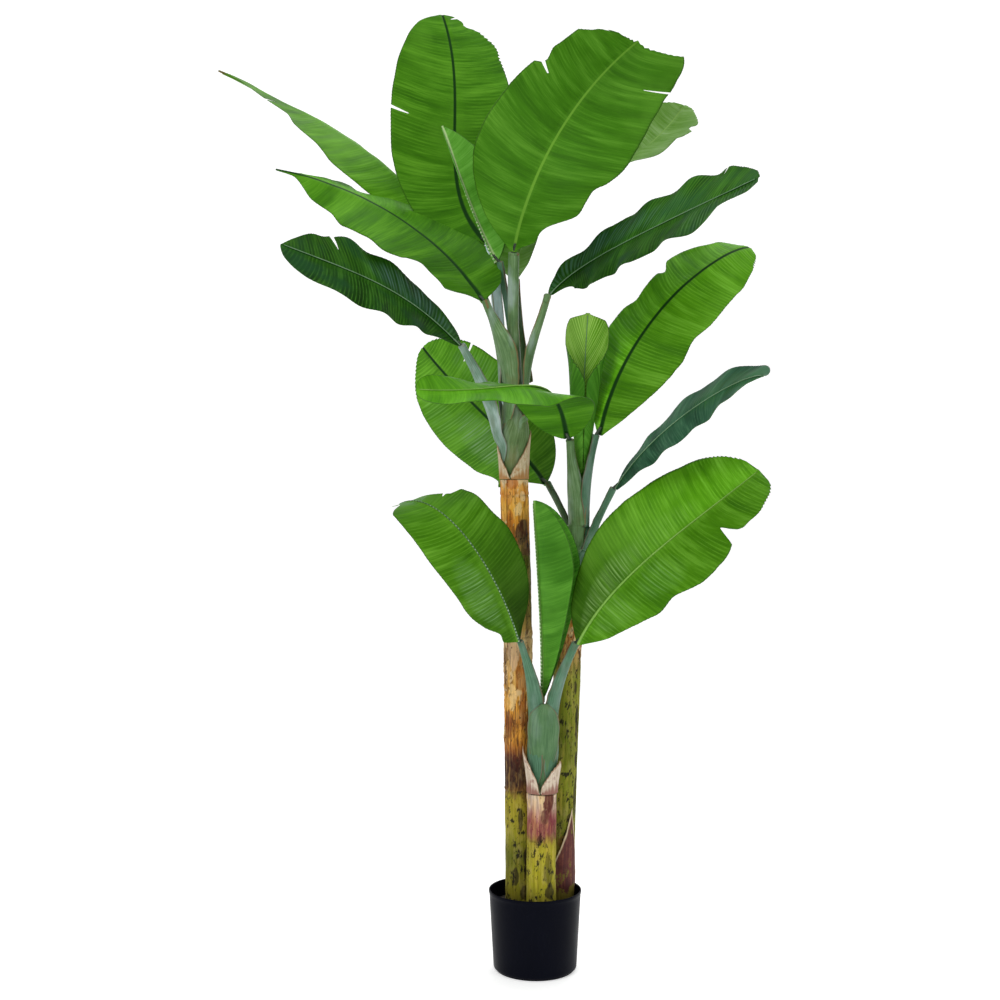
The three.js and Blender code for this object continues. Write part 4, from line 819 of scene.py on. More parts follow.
def build_stem(key, mat, seed, tints, flake_bands, speck_bands, fibre_bands, seams, spots=(), n_ang=144, pitch=2.35):
    """Bands are rows of [height, value]. spots: rows of (angle, height, width, height size, colour, strength)."""
    rows = STEMS[key]
    z0, z1 = rows[0][2], rows[-1][2]
    nz = int((z1 - z0) / pitch) + 1
    z = np.linspace(z0, z1, nz)[:, None]
    a = np.linspace(0, 2 * np.pi, n_ang, endpoint=False)[None]
    cx, cy, r = path_at(rows, z)
    q = a / (2 * np.pi)  # round the stem, 0 to 1
    band = lambda b: np.interp(z, [x[0] for x in b], [x[1] for x in b])
    lump = 0.8 * fbm(q * 5, z / 75, 0, seed, 3, 5)
    fib = fbm(q * 34, z / 30, 0, seed + 1, 4, 34, 0.6)
    fibre2 = noise(q * 130, z / 9, 0, seed + 2, 130)
    rough = band(fibre_bands)
    # peeling flakes: pieces with sharp edges, long up and down the stem
    fn = fbm(q * 9 + 0.14 * noise(q * 18, z / 20, 0, seed + 8, 18), z / 34, 0, seed + 3, 4, 9, 0.62)
    flake = step(fn + band(flake_bands), 0.16, 0.21)
    # long dark cracks and specks
    cn = fbm(q * 11, z / 38, 0, seed + 6, 4, 11, 0.6)
    crack = step(-np.abs(cn), -0.020, -0.004) * step(noise(q * 7, z / 45, 0, seed + 12, 7), -0.1, 0.3)
    sn = fbm(q * 30, z / 11, 0, seed + 7, 4, 30, 0.66)
    speck = step(sn + band(speck_bands), 0.34, 0.39)
    dr = lump + (0.30 + 1.15 * rough) * fib + (0.12 + 0.22 * rough) * fibre2 + 1.0 * flake - 0.7 * crack - 0.25 * speck
    wob = 26 * fbm(q * 6, z / 60, 0, seed + 15, 4, 6, 0.6) + 10 * noise(q * 40, z / 30, 0, seed + 16, 40)
    tz = z + wob * 0.55
    zs_ = [t[0] for t in tints]
    tint = np.stack([np.interp(tz, zs_, [t[1][c] for t in tints]) for c in range(3)], -1)
    # long strands, light and dark, where the bark is fibrous
    strand = fbm(q * 30 + 0.25 * noise(q * 10, z / 30, 0, seed + 41, 10), z / 46, 0, seed + 40, 4, 30, 0.65)
    lite = (step(strand, 0.12, 0.22) * rough)[..., None]
    dusk = (step(-strand, 0.10, 0.22) * rough)[..., None]
    tint = tint * (1 - 0.85 * dusk) + np.array((0.085, 0.020, 0.005)) * 0.85 * dusk
    tint = tint * (1 - 0.55 * lite) + np.array((0.80, 0.47, 0.12)) * 0.55 * lite
    for zs, d in seams:
        zz = z - zs - 3.0 * noise(q * 6, 0.5, 0, seed + 9, 6)
        dr = dr + d * (np.exp(-(zz / 3.0) ** 2) - 1.2 * np.exp(-((zz + 4.5) / 1.6) ** 2))
        crack = np.maximum(crack, 0.45 * np.exp(-((zz + 4.5) / 1.5) ** 2) * step(noise(q * 9, 0.2, 0, seed + 31, 9), -0.5, 0.4))
    for (deg, zc, wd, hd, col, k) in spots:
        da = (np.degrees(a) - deg + 180) % 360 - 180
        m = (da / wd) ** 2 + ((z - zc) / hd) ** 2 + 0.9 * fbm(q * 16, z / 20, 0, seed + 20 + int(zc) % 7, 4, 16, 0.62)
        m = (1 - step(m, 0.75, 1.0)) * k
        tint = tint * (1 - m[..., None]) + np.array(col) * m[..., None]
        flake = flake * (1 - m)
        dr = dr - 0.35 * m
    dr = dr * step(z, z0 - 1, z0 + 3)
    R = r + dr
    V = np.stack([cx + R * np.cos(a), cy + R * np.sin(a), np.broadcast_to(z, R.shape)], -1).reshape(-1, 3)
    F = grid_faces(nz, n_ang, True)
    caps = np.array([[cx[0, 0], cy[0, 0], z0], [cx[-1, 0], cy[-1, 0], z1]])
    T = fan_caps(F, np.arange(n_ang), np.arange(n_ang) + (nz - 1) * n_ang, len(V), len(V) + 1)
    at = np.stack([flake, np.maximum(crack, speck), np.broadcast_to(rough, flake.shape)], -1).reshape(-1, 3)
    tint = tint.reshape(-1, 3)
    at = np.concatenate([at, np.zeros((2, 3))])
    tint = np.concatenate([tint, tint[:1], tint[-1:]])
    V = np.concatenate([V, caps])
    new_object(key + "_bark", V, F, mat, (key + "_stem",), tris=T, attrs={"relief": at, "tint": tint})


RUST = (0.42, 0.130, 0.010)
ORANGE = (0.62, 0.255, 0.030)
OLIVE = (0.105, 0.125, 0.006)
YELLOW = (0.250, 0.235, 0.010)
MAROON = (0.050, 0.011, 0.006)
TAN = (0.50, 0.33, 0.14)
CREAM = (0.68, 0.52, 0.30)
MOSS = (0.060, 0.085, 0.006)
BLACK = (0.006, 0.004, 0.002)
PLUM = (0.17, 0.032, 0.022)

M_BARK = bark_material("bark")

build_stem("tall", M_BARK, 5,
    [(120, (0.10, 0.09, 0.008)), (150, YELLOW), (215, OLIVE), (262, YELLOW), (325, (0.30, 0.26, 0.012)), (342, (0.12, 0.055, 0.010)), (352, (0.024, 0.007, 0.005)), (398, (0.034, 0.008, 0.006)), (416, (0.10, 0.022, 0.010)), (432, (0.38, 0.12, 0.012)), (450, (0.72, 0.31, 0.03)), (474, (0.46, 0.16, 0.012)), (500, (0.76, 0.34, 0.035)), (545, (0.70, 0.36, 0.06)), (590, (0.62, 0.38, 0.13)), (632, CREAM), (650, (0.20, 0.12, 0.03)), (700, MOSS), (790, OLIVE), (820, (0.16, 0.06, 0.010)), (840, RUST), (862, (0.66, 0.26, 0.02)), (884, (0.80, 0.38, 0.03)), (903, (0.74, 0.33, 0.03)), (916, (0.60, 0.20, 0.015)), (930, (0.70, 0.32, 0.05)), (940, CREAM)],
    [(120, -0.6), (340, -0.6), (440, -0.20), (540, 0.02), (600, 0.10), (640, 0.02), (680, -0.4), (820, -0.4), (870, -0.22), (905, -0.10), (925, 0.02), (940, 0.14)],
    [(120, 0.10), (180, 0.04), (330, 0.0), (345, -0.2), (640, -0.2), (700, 0.0), (820, 0.0), (850, -0.2), (940, -0.3)],
    [(120, 0.15), (335, 0.12), (350, 0.28), (405, 0.32), (435, 0.85), (640, 1.0), (670, 0.4), (820, 0.4), (850, 0.7), (940, 0.6)],
    [(914, 0.7), (640, 0.5), (345, 0.9)],
    [(258, 933, 26, 12, (0.46, 0.13, 0.010), 0.85), (286, 882, 18, 13, (0.88, 0.62, 0.27), 0.7), (250, 866, 16, 18, (0.50, 0.15, 0.012), 0.8), (246, 903, 12, 12, (0.52, 0.17, 0.012), 0.7), (305, 908, 16, 9, (0.88, 0.66, 0.34), 0.6), (262, 598, 22, 30, (0.50, 0.19, 0.02), 0.75), (286, 498, 14, 40, (0.40, 0.11, 0.010), 0.85), (244, 524, 16, 30, (0.84, 0.58, 0.24), 0.75), (225, 470, 18, 30, (0.20, 0.05, 0.010), 0.8), (234, 620, 16, 22, (0.22, 0.06, 0.012), 0.7), (300, 838, 34, 26, MAROON, 0.95), (318, 806, 26, 16, (0.12, 0.04, 0.015), 0.9), (305, 215, 24, 30, BLACK, 0.9), (275, 290, 10, 24, BLACK, 0.8), (252, 180, 14, 18, BLACK, 0.75), (300, 150, 30, 14, BLACK, 0.8), (250, 610, 30, 40, (0.62, 0.42, 0.24), 0.8), (285, 560, 26, 24, RUST, 0.8), (100, 250, 30, 30, BLACK, 0.7), (60, 760, 40, 40, MAROON, 0.8), (150, 560, 40, 60, RUST, 0.7)])
build_stem("middle", M_BARK, 17,
    [(120, MAROON), (165, (0.10, 0.030, 0.012)), (215, (0.16, 0.12, 0.012)), (260, (0.13, 0.155, 0.006)), (330, (0.185, 0.225, 0.008)), (440, (0.135, 0.175, 0.007)), (560, (0.190, 0.220, 0.010)), (590, (0.13, 0.12, 0.010)), (603, (0.060, 0.018, 0.008)), (625, (0.20, 0.045, 0.010)), (645, (0.40, 0.11, 0.012)), (690, (0.46, 0.16, 0.02)), (730, (0.40, 0.22, 0.07)), (764, TAN)],
    [(120, -0.6), (595, -0.6), (625, -0.1), (700, 0.05), (764, 0.15)],
    [(120, 0.12), (200, 0.06), (300, 0.02), (560, 0.0), (600, -0.1), (764, -0.2)],
    [(120, 0.3), (560, 0.15), (605, 0.8), (764, 1.0)],
    [(600, 0.5)],
    [(325, 470, 12, 34, BLACK, 0.85), (330, 400, 10, 16, BLACK, 0.9), (308, 540, 8, 14, BLACK, 0.8), (332, 330, 14, 40, BLACK, 0.8), (300, 290, 14, 10, BLACK, 0.7), (285, 245, 30, 14, (0.12, 0.06, 0.01), 0.8), (120, 420, 30, 40, BLACK, 0.6)])
build_stem("short", M_BARK, 29,
    [(120, (0.14, 0.12, 0.010)), (150, (0.28, 0.265, 0.010)), (200, (0.36, 0.335, 0.012)), (254, (0.33, 0.29, 0.014)), (264, (0.20, 0.10, 0.025)), (272, (0.22, 0.040, 0.050)), (292, (0.24, 0.035, 0.055)), (306, (0.40, 0.17, 0.14)), (322, (0.60, 0.42, 0.32)), (347, (0.66, 0.52, 0.40))],
    [(120, -0.6), (262, -0.6), (300, -0.3), (345, 0.0)],
    [(120, 0.12), (150, 0.06), (250, 0.02), (265, -0.2), (345, -0.3)],
    [(120, 0.15), (255, 0.2), (275, 0.35), (310, 0.4), (345, 0.5)],
    [(262, 0.4)],
    [(296, 334, 24, 30, (0.110, 0.022, 0.016), 0.97), (283, 306, 16, 16, (0.105, 0.018, 0.020), 0.9), (298, 200, 20, 34, BLACK, 0.55), (305, 165, 22, 18, BLACK, 0.8), (262, 262, 12, 10, (0.05, 0.01, 0.01), 0.8), (110, 210, 24, 30, BLACK, 0.6)])

# ------------------------------------------------------------------ bark flaps
FLAPS = [
    dict(name="tall_bark_flap_left", c=[-40.5, 10], r=[27.2, 31.5], a=[96, 252], z0=941, tops=[975, 1008, 948], tip=0.62, lip=(1.2, 0.85)),
    dict(name="tall_bark_flap_right", c=[-40.5, 10], r=[27.2, 32], a=[258, 444], z0=941, tops=[948, 1034, 975], tip=0.50, lip=(0.95, 1.3)),
    dict(name="middle_bark_flap", c=[79, 22], r=[25.8, 27.5], a=[150, 262], z0=766, tops=[772, 790, 768], tip=0.55),
    dict(name="short_bark_flap_left", c=[13, -37], r=[28.3, 36.5], a=[95, 258], z0=347, tops=[372, 434, 353], tip=0.55, lip=(1.5, 0.55)),
    dict(name="short_bark_flap_right", c=[13, -37], r=[28.3, 35.0], a=[264, 440], z0=347, tops=[353, 410, 372], tip=0.42, lip=(0.55, 1.5)),
    dict(name="middle_bark_wrap", c=[46.5, 22], r=[28.6, 31.5], a=[205, 380], z0=128, tops=[170, 306, 150], tip=0.66),
]


def flap_material(name, a, b, c, low, rim=(0.24, 0.12, 0.05), under=None):
    k = Nodes(name)
    x, y, _ = k.xyz(k.uv("along"))
    v = k.uv("along")
    st = k.noise(k.scaled(v, 14.0, 0.8), 1.0, 5, 0.65)
    fine = k.noise(k.scaled(v, 60.0, 2.0), 1.0, 3, 0.6)
    cl = k.noise(k.obj(), 60.0, 4, 0.6)
    base = k.ramp(k.math("ADD", k.math("MULTIPLY", st, 0.6), k.math("MULTIPLY", cl, 0.4)), [(0.33, a), (0.5, b), (0.66, c)])
    base = k.mix(k.range(fine, 0.5, 0.36, 0, 0.45), base, a)
    base = k.mix(k.range(cl, 0.56, 0.66, 0, 0.75), base, low)
    yy = k.math("ADD", y, k.math("MULTIPLY", k.math("SUBTRACT", st, 0.5), 0.9))
    base = k.mix(k.range(yy, 0.42, 0.12, 0, 0.85, True), base, low)
    if under is not None:
        mo = k.noise(k.scaled(k.obj(), 30.0, 30.0, 20.0), 1.0, 5, 0.65)
        low_down = k.math("ADD", mo, k.math("MULTIPLY", k.math("SUBTRACT", 0.55, y), 0.22))
        base = k.mix(k.range(low_down, 0.52, 0.58, 0, 0.9, True), base, under)
    base = k.mix(k.range(y, 0.90, 0.965, 0, 0.85, True), base, rim)
    h = k.math("ADD", k.math("MULTIPLY", st, 0.5), k.math("MULTIPLY", fine, 0.5))
    return k.finish(base, k.range(st, 0.3, 0.7, 0.62, 0.85), k.bump(h, 0.0012, 0.7), 0.3)


M_FLAP = flap_material("flap_beige", (0.30, 0.20, 0.10), (0.52, 0.42, 0.26), (0.70, 0.62, 0.46), (0.36, 0.16, 0.035))
M_FLAP_PINK = flap_material("flap_pink", (0.34, 0.24, 0.16), (0.60, 0.50, 0.38), (0.76, 0.69, 0.58), (0.22, 0.070, 0.050), rim=(0.30, 0.17, 0.09))
M_WRAP = flap_material("bark_wrap", (0.034, 0.008, 0.008), (0.105, 0.022, 0.018), (0.26, 0.10, 0.05), (0.060, 0.012, 0.012), rim=(0.60, 0.48, 0.30), under=(0.150, 0.125, 0.010))
M_FLAP_MID = flap_material("flap_middle", (0.16, 0.09, 0.03), (0.40, 0.28, 0.14), (0.60, 0.48, 0.30), (0.30, 0.10, 0.02))


def build_flap(s, mat, seed, nu=110, nv=46):
    u = np.linspace(0, 1, nu)[None]
    v = np.linspace(0, 1, nv)[:, None]
    a = np.radians(s["a"][0] + (s["a"][1] - s["a"][0]) * u)
    k = np.where(u < s["tip"], u / s["tip"], (1 - u) / (1 - s["tip"]))
    side = np.where(u < s["tip"], s["tops"][0], s["tops"][2])
    pw = s.get("lip", (1.5, 1.5))
    top = side + (s["tops"][1] - side) * k ** np.where(u < s["tip"], pw[0], pw[1])
    top = top + 2.6 * fbm(u * 16, 0.3, 0, seed, 3) + 1.2 * noise(u * 60, 0.7, 0, seed + 1)
    z = s["z0"] + (top - s["z0"]) * v
    r = s["r"][0] + (s["r"][1] - s["r"][0]) * v ** 1.6 + 0.9
    edge = np.minimum(u, 1 - u) * (s["a"][1] - s["a"][0]) / 57.3 * 28.0
    r = r + 1.4 * np.exp(-edge / 3.0) * v + 0.8 * fbm(u * 7, v * 2.5, 0, seed + 2, 3) + 0.35 * noise(u * 44, v * 2.0, 0, seed + 3)
    P = np.stack([s["c"][0] + r * np.cos(a), s["c"][1] + r * np.sin(a), z], -1)
    uv = np.stack([np.broadcast_to(u * 2.0, z.shape), np.broadcast_to(v, z.shape)], -1)
    V, F, (uvq,), kind = thicken(P.reshape(-1, 3), grid_faces(nv, nu), 0.9, (uv.reshape(-1, 2),))
    new_object(s["name"] + "_shell", V, F, mat, (s["name"],), {"along": uvq})


for i, s in enumerate(FLAPS):
    build_flap(s, M_WRAP if "wrap" in s["name"] else M_FLAP_MID if s["name"].startswith("middle") else M_FLAP_PINK if s["name"].startswith("short") else M_FLAP, 40 + 5 * i)

# ------------------------------------------------------------------ crowns
CROWNS = {
    "tall": [[-40.5, 10, 930, 21], [-40.5, 10, 1030, 26], [-41, 10, 1090, 23], [-42, 10, 1150, 14], [-42, 12, 1176, 8]],
    "middle": [[77.1, 22, 752, 20], [84, 22, 840, 22], [88.5, 23, 880, 19], [91, 25, 906, 12]],
    "short": [[12, -37, 335, 22], [14, -38, 420, 28], [14.5, -39, 465, 26], [14.5, -41, 500, 17]],
}


def build_crown(key, seed, n_ang=72):
    rows = CROWNS[key]
    z0, z1 = rows[0][2], rows[-1][2]
    nz = int((z1 - z0) / 3) + 1
    z = np.linspace(z0, z1, nz)[:, None]
    a = np.linspace(0, 2 * np.pi, n_ang, endpoint=False)[None]
    cx, cy, r = path_at(rows, z)
    q = a / (2 * np.pi)
    R = r + 0.7 * np.cos(a * 9 + z / 60) + 0.5 * fbm(q * 20, z / 60, 0, seed, 3, 20) - 0.6
    R = R * np.sqrt(np.clip((z1 + 0.5 - z) / 8.0, 0.02, 1))
    V = np.stack([cx + R * np.cos(a), cy + R * np.sin(a), np.broadcast_to(z, R.shape)], -1).reshape(-1, 3)
    uv = np.stack([np.broadcast_to((z1 - z) / 100, R.shape), np.broadcast_to(np.cos(a * 3) * 0.7, R.shape)], -1).reshape(-1, 2)
    F = grid_faces(nz, n_ang, True)
    caps = np.array([[cx[0, 0], cy[0, 0], z0], [cx[-1, 0], cy[-1, 0], z1]])
    T = fan_caps(F, np.arange(n_ang), np.arange(n_ang) + (nz - 1) * n_ang, len(V), len(V) + 1)
    V = np.concatenate([V, caps])
    uv = np.concatenate([uv, [[0, 0], [0, 0]]])
    new_object(key + "_crown_core", V, F, M_SHEATH, (key + "_crown",), {"along": uv}, tris=T)


for i, k_ in enumerate(CROWNS):
    build_crown(k_, 60 + i)

# ------------------------------------------------------------------ stalks
# path: Bezier from crown to blade; r: radius at top; foot: height of the pointed foot of the clasping base;
# clasp: half width of the base in mm; lift: how far outside the crown core it lies; az: the direction round the crown,
# in degrees, that the foot turns to
STALKS = {
    "tall_stalk_1": dict(path=[[-66, 34, 1118], [-72, 62, 1250], [-110, 92, 1340], [-183.5, 108, 1426]], r=6.5, foot=1010, clasp=24, lift=1.5),
    # painted reflection: tall_stalk_2 and its socket take the near white material
    "tall_stalk_2": dict(path=[[-58, 22, 1128], [-72, 24, 1220], [-86, 34, 1320], [-93, 66, 1405]], r=8.5, foot=1040, clasp=22, lift=2.5, mat="pale", wide=[1350, 1300], az=245, wide_r=19),
    "tall_stalk_3": dict(path=[[-42, -6, 1150], [-42, -12, 1230], [-42, -26, 1300], [-41.1, -37.3, 1369]], r=9.5, foot=1060, clasp=24, lift=1.0, az=270, wide=[1250, 1130]),
    "tall_stalk_4": dict(path=[[-22, 34, 1128], [-26, 48, 1200], [-36, 62, 1270], [-38.3, 69.3, 1335]], r=6.5, foot=1020, clasp=22, lift=1.5),
    "tall_stalk_5": dict(path=[[-46, 13, 1178], [-52, 15, 1240], [-62, 18, 1300], [-72.3, 20, 1360]], r=6, foot=1120, clasp=12, lift=0.5, mat="green"),
    "tall_stalk_6": dict(path=[[-56, -16, 1052], [-44, -28, 1150], [-76, -34, 1215], [-100.2, -39, 1276]], r=6.5, foot=1036, clasp=34, lift=4.0, az=262, wide=[1268, 1172], wide_r=25),
    "tall_stalk_7": dict(path=[[-76, -10, 1030], [-88, -24, 1085], [-118, -46, 1140], [-143.6, -58.6, 1189]], r=6.5, foot=972, clasp=24, lift=5.5, az=225, mat="blue", wide=[1180, 1088], wide_r=18),
    "tall_stalk_8": dict(path=[[-16, -14, 1060], [-18, -18, 1150], [4, -18, 1205], [29.2, -10.8, 1290]], r=6.5, foot=1036, clasp=24, lift=4.5, az=292, wide=[1275, 1180], wide_r=18),
    "middle_stalk_1": dict(path=[[78, 46, 800], [66, 52, 850], [44, 56, 890], [22.4, 60.7, 930.7]], r=6, foot=772, clasp=22, lift=1.5, mat="dark"),
    "middle_stalk_2": dict(path=[[74, -4, 850], [66, -4, 930], [64, -8, 960], [61.2, -11.2, 1015]], r=7, foot=762, clasp=33, lift=3.0, az=264, wide=[1005, 905]),
    "middle_stalk_4": dict(path=[[104, 4, 850], [104, 2, 920], [110, 3, 970], [123.3, 5, 1023.5]], r=6.5, foot=790, clasp=25, lift=1.5, az=308, wide=[1010, 915], mat="green"),
    "middle_stalk_5": dict(path=[[108, 4, 800], [114, 2, 840], [134, -8, 880], [153.2, -18.8, 919.5]], r=6, foot=768, clasp=24, lift=5.0, az=303, mat="green", wide=[880, 790]),
    "short_stalk_1": dict(path=[[-6, -56, 456], [-8, -62, 520], [-16, -70, 580], [-33.2, -74.5, 634]], r=5.5, foot=352, clasp=30, lift=2.5, az=238, wide=[630, 500], mat="green"),
    "short_stalk_3": dict(path=[[36, -54, 456], [38, -60, 520], [56, -70, 580], [79.2, -74.6, 629.5]], r=7, foot=356, clasp=30, lift=1.5, az=302, wide=[625, 490], mat="green"),
}
STALK_MATS = {"": M_STALK, "pale": M_STALK_REFLECTION, "blue": M_SHEATH_BLUE, "dark": M_STALK_DARK, "green": M_STALK_GREEN}


def crown_axis(key, z):
    rows = CROWNS[key]
    z = np.clip(z, rows[0][2], rows[-1][2])
    return path_at(rows, z)


def build_stalk(name, s, seed, nt=70, na=21):
    key = name.split("_")[0]
    B = np.array(s["path"], float)
    tb = np.linspace(1, 0, 60)
    top = bez(B, tb)                       # from the blade down to the crown
    cx, cy, cr = crown_axis(key, B[0][2])
    h0 = np.array([B[0][0] - cx, B[0][1] - cy])
    az0 = math.atan2(h0[1], h0[0])
    az1 = math.radians(s["az"]) if "az" in s else az0
    az0 = az0 + 2 * math.pi * round((az1 - az0) / (2 * math.pi))
    zf = np.linspace(B[0][2], s["foot"], 40)[1:]
    f = (B[0][2] - zf) / max(B[0][2] - s["foot"], 1)
    ax, ay, ar = crown_axis(key, zf)
    az = az0 + (az1 - az0) * step(f, 0, 0.6)
    rr = ar + s["lift"] + 0.8
    # ease from the stalk's own distance to the crown's surface
    d0 = float(np.hypot(*h0))
    rr = rr + (d0 - rr[0]) * (1 - step(f, 0, 0.45))
    low = np.stack([ax + rr * np.cos(az), ay + rr * np.sin(az), zf], -1)
    P = np.concatenate([top, low])
    d = np.r_[0, np.cumsum(np.linalg.norm(np.diff(P, axis=0), axis=1))]
    t = np.linspace(0, d[-1], nt)
    k = np.hanning(9)[1:-1]; k /= k.sum()
    P = np.stack([np.interp(t, d, P[:, i]) for i in range(3)], -1)
    Ps = np.stack([np.convolve(np.pad(P[:, i], 3, mode="edge"), k, mode="valid") for i in range(3)], -1)
    Ps[0], Ps[-1] = P[0], P[-1]
    P = Ps
    T = unit(np.gradient(P, axis=0))
    tau = t / d[-1]
    join_at = float(np.interp(59, np.arange(len(d)), d) / d[-1])  # where the stalk meets the crown
    # outward direction
    out_top = np.array([math.cos(az0), math.sin(az0), 0.0])
    lean = B[3] - B[0]; lean[2] = 0
    if np.linalg.norm(lean) > 12:
        out_top = unit(lean)
    O = np.zeros_like(P)
    for i in range(nt):
        if tau[i] > join_at:
            zc = P[i, 2]
            ax_, ay_, _ = crown_axis(key, zc)
            o = unit(np.array([P[i, 0] - ax_, P[i, 1] - ay_, 0.0]))
            O[i] = o
        else:
            O[i] = out_top
    if "wide" in s:
        gw = 1 - step(P[:, 2], s["wide"][1], s["wide"][0])
    else:
        gw = step(tau, join_at * 0.45, join_at * 1.05)
    fo = (gw if "wide" in s else step(tau, join_at * 0.55, min(join_at * 1.15, 1)))[:, None]
    oc = np.array([math.cos((az0 + az1) / 2), math.sin((az0 + az1) / 2), 0.0])
    O = unit(out_top[None] * (1 - fo) + (O * 0.7 + oc * 0.3) * fo)
    O = unit(O - (O * T).sum(-1, keepdims=True) * T)
    S = np.cross(T, O)
    # radius of the channel and half width of the blade along the way down
    g = gw
    _, _, cr_all = crown_axis(key, P[:, 2])
    R = s["r"] * (1 - g) + np.maximum(cr_all + s["lift"] + 1.0, s.get("wide_r", 17.0 if "wide" in s else 0.0)) * g
    hw_top = s["r"] * 2.45
    hw = hw_top * (1 - g) + s["clasp"] * g
    tail = np.clip((1 - tau) / max(1 - join_at, 1e-3), 0, 1)
    if "wide" in s:
        shape = np.clip((P[:, 2] - s["foot"]) / (s["wide"][1] - s["foot"]), 0, 1) ** 0.55
    else:
        shape = np.where(tau > join_at, np.clip(tail, 0.0, 1) ** 0.85, 1.0)
    hw = np.maximum(hw * shape, 0.8)
    hw = hw * (1 + 0.03 * noise(tau * 22, seed))
    w = np.linspace(-1, 1, na)
    Y = hw[:, None] * w[None]
    A = Y / R[:, None]
    # the stalk is round on its back; its two margins turn in
    C = P - O * R[:, None]
    V = C[:, None] + O[:, None] * (R[:, None] * np.cos(A))[..., None] + S[:, None] * (R[:, None] * np.sin(A))[..., None]
    rib = 0.35 * np.cos(Y / 2.6) * step(hw, 4, 12)[:, None] + 0.35 * fbm(Y / 9.0, tau[:, None] * 6, seed, seed, 3)
    nrm = O[:, None] * np.cos(A)[..., None] + S[:, None] * np.sin(A)[..., None]
    V = V + nrm * rib[..., None]
    uv = np.stack([np.broadcast_to(t[:, None] / 100, A.shape), np.broadcast_to(w[None], A.shape)], -1)
    F = grid_faces(nt, na)
    th = 1.7 - 0.6 * step(tau, join_at, 1.0)
    P0 = V.reshape(-1, 3)
    n_test = vertex_normals(P0, F)[(nt // 3) * na + na // 2]
    if np.dot(n_test, O[nt // 3]) < 0:
        F = F[:, ::-1]
    Vt, Ft, (uvq,), kind = thicken(P0, F, np.repeat(th, na), (uv.reshape(-1, 2),))
    new_object(name + "_channel", Vt, Ft, STALK_MATS[s.get("mat", "")], (name,), {"along": uvq})
    # socket at the top and the wire neck that plugs into it
    leaf = name.replace("stalk", "leaf")
    M, Tl, Nl, Sl = leaf_of[leaf].frame(np.array([0.0, 0.02]))
    c = P[0]
    dirn = unit(M[0] - c + Tl[0] * 2.0)
    Sx = unit(np.cross(dirn, np.array([0.31, 0.17, 0.93])))
    Nx = np.cross(dirn, Sx)
    r = s["r"]
    hs = np.array([-16, -15.5, -9, -3.2, -2.6, -1.2, 1.0, 2.0, 2.0 + 1e-3])
    rs = np.array([r * 0.60, r * 0.80, r * 0.98, r * 1.00, r * 1.10, r * 1.16, r * 1.14, r * 1.02, r * 0.60])
    ctr = c - O[0] * (R[0] * 0.92)
    Pc = ctr[None] + dirn[None] * hs[:, None]
    sock = tube(Pc, np.repeat(Sx[None], len(hs), 0), np.repeat(Nx[None], len(hs), 0), rs, rs, 20)
    new_object(name + "_socket", sock[0], sock[1], STALK_MATS[s.get("mat", "")], (), {"along": sock[3]}, tris=sock[2])
    tip = M[0] + Tl[0] * 16.0
    q = np.linspace(0, 1, 9)[:, None]
    neck = (1 - q) * (ctr + dirn * 0.5) + q * tip
    rn = np.linspace(r * 0.62, 3.0, 9) * (1 + 0.05 * np.cos(np.arange(9) * 2.4))
    nk = tube(neck, np.repeat(Sx[None], 9, 0), np.repeat(Nx[None], 9, 0), rn, rn, 14)
    new_object(name + "_neck", nk[0], nk[1], M_NECK, (), {"along": nk[3]}, tris=nk[2])


for i, (nm, s) in enumerate(STALKS.items()):
    build_stalk(nm, s, 80 + i)

# ------------------------------------------------------------------ sheaths that lap the fronts of the crowns
# rows from the bottom up: height, angle of the left margin and of the right margin (270 is the front), distance from the core
WRAPS = {
    "tall_front_sheath": dict(key="tall", mat=M_SHEATH, rows=[[925, 249, 251, 1.0], [942, 243, 262, 2.0], [960, 222, 292, 3.0], [988, 196, 330, 4.2], [1012, 198, 345, 4.8], [1032, 212, 346, 5.4], [1048, 234, 336, 5.8], [1061, 247, 312, 6.0], [1072, 257, 290, 6.0], [1081, 270, 276, 6.0]]),
    "middle_front_sheath": dict(key="middle", mat=M_SHEATH_GREEN, rows=[[766, 262, 268, 1.0], [785, 240, 296, 2.0], [810, 222, 322, 2.4], [840, 225, 332, 2.8], [860, 236, 326, 3.0], [876, 252, 312, 3.2], [888, 270, 292, 3.2]]),
    "short_front_sheath": dict(key="short", mat=M_SHEATH_GREEN, absolute=True, rows=[[350, 268, 272, 24.0], [366, 254, 285, 25.5], [390, 236, 302, 28.0], [415, 218, 322, 30.5], [440, 204, 336, 32.0], [470, 200, 340, 33.0], [490, 210, 330, 33.5], [503, 226, 315, 33.5], [512, 244, 298, 33.5], [519, 264, 280, 33.5]]),
}


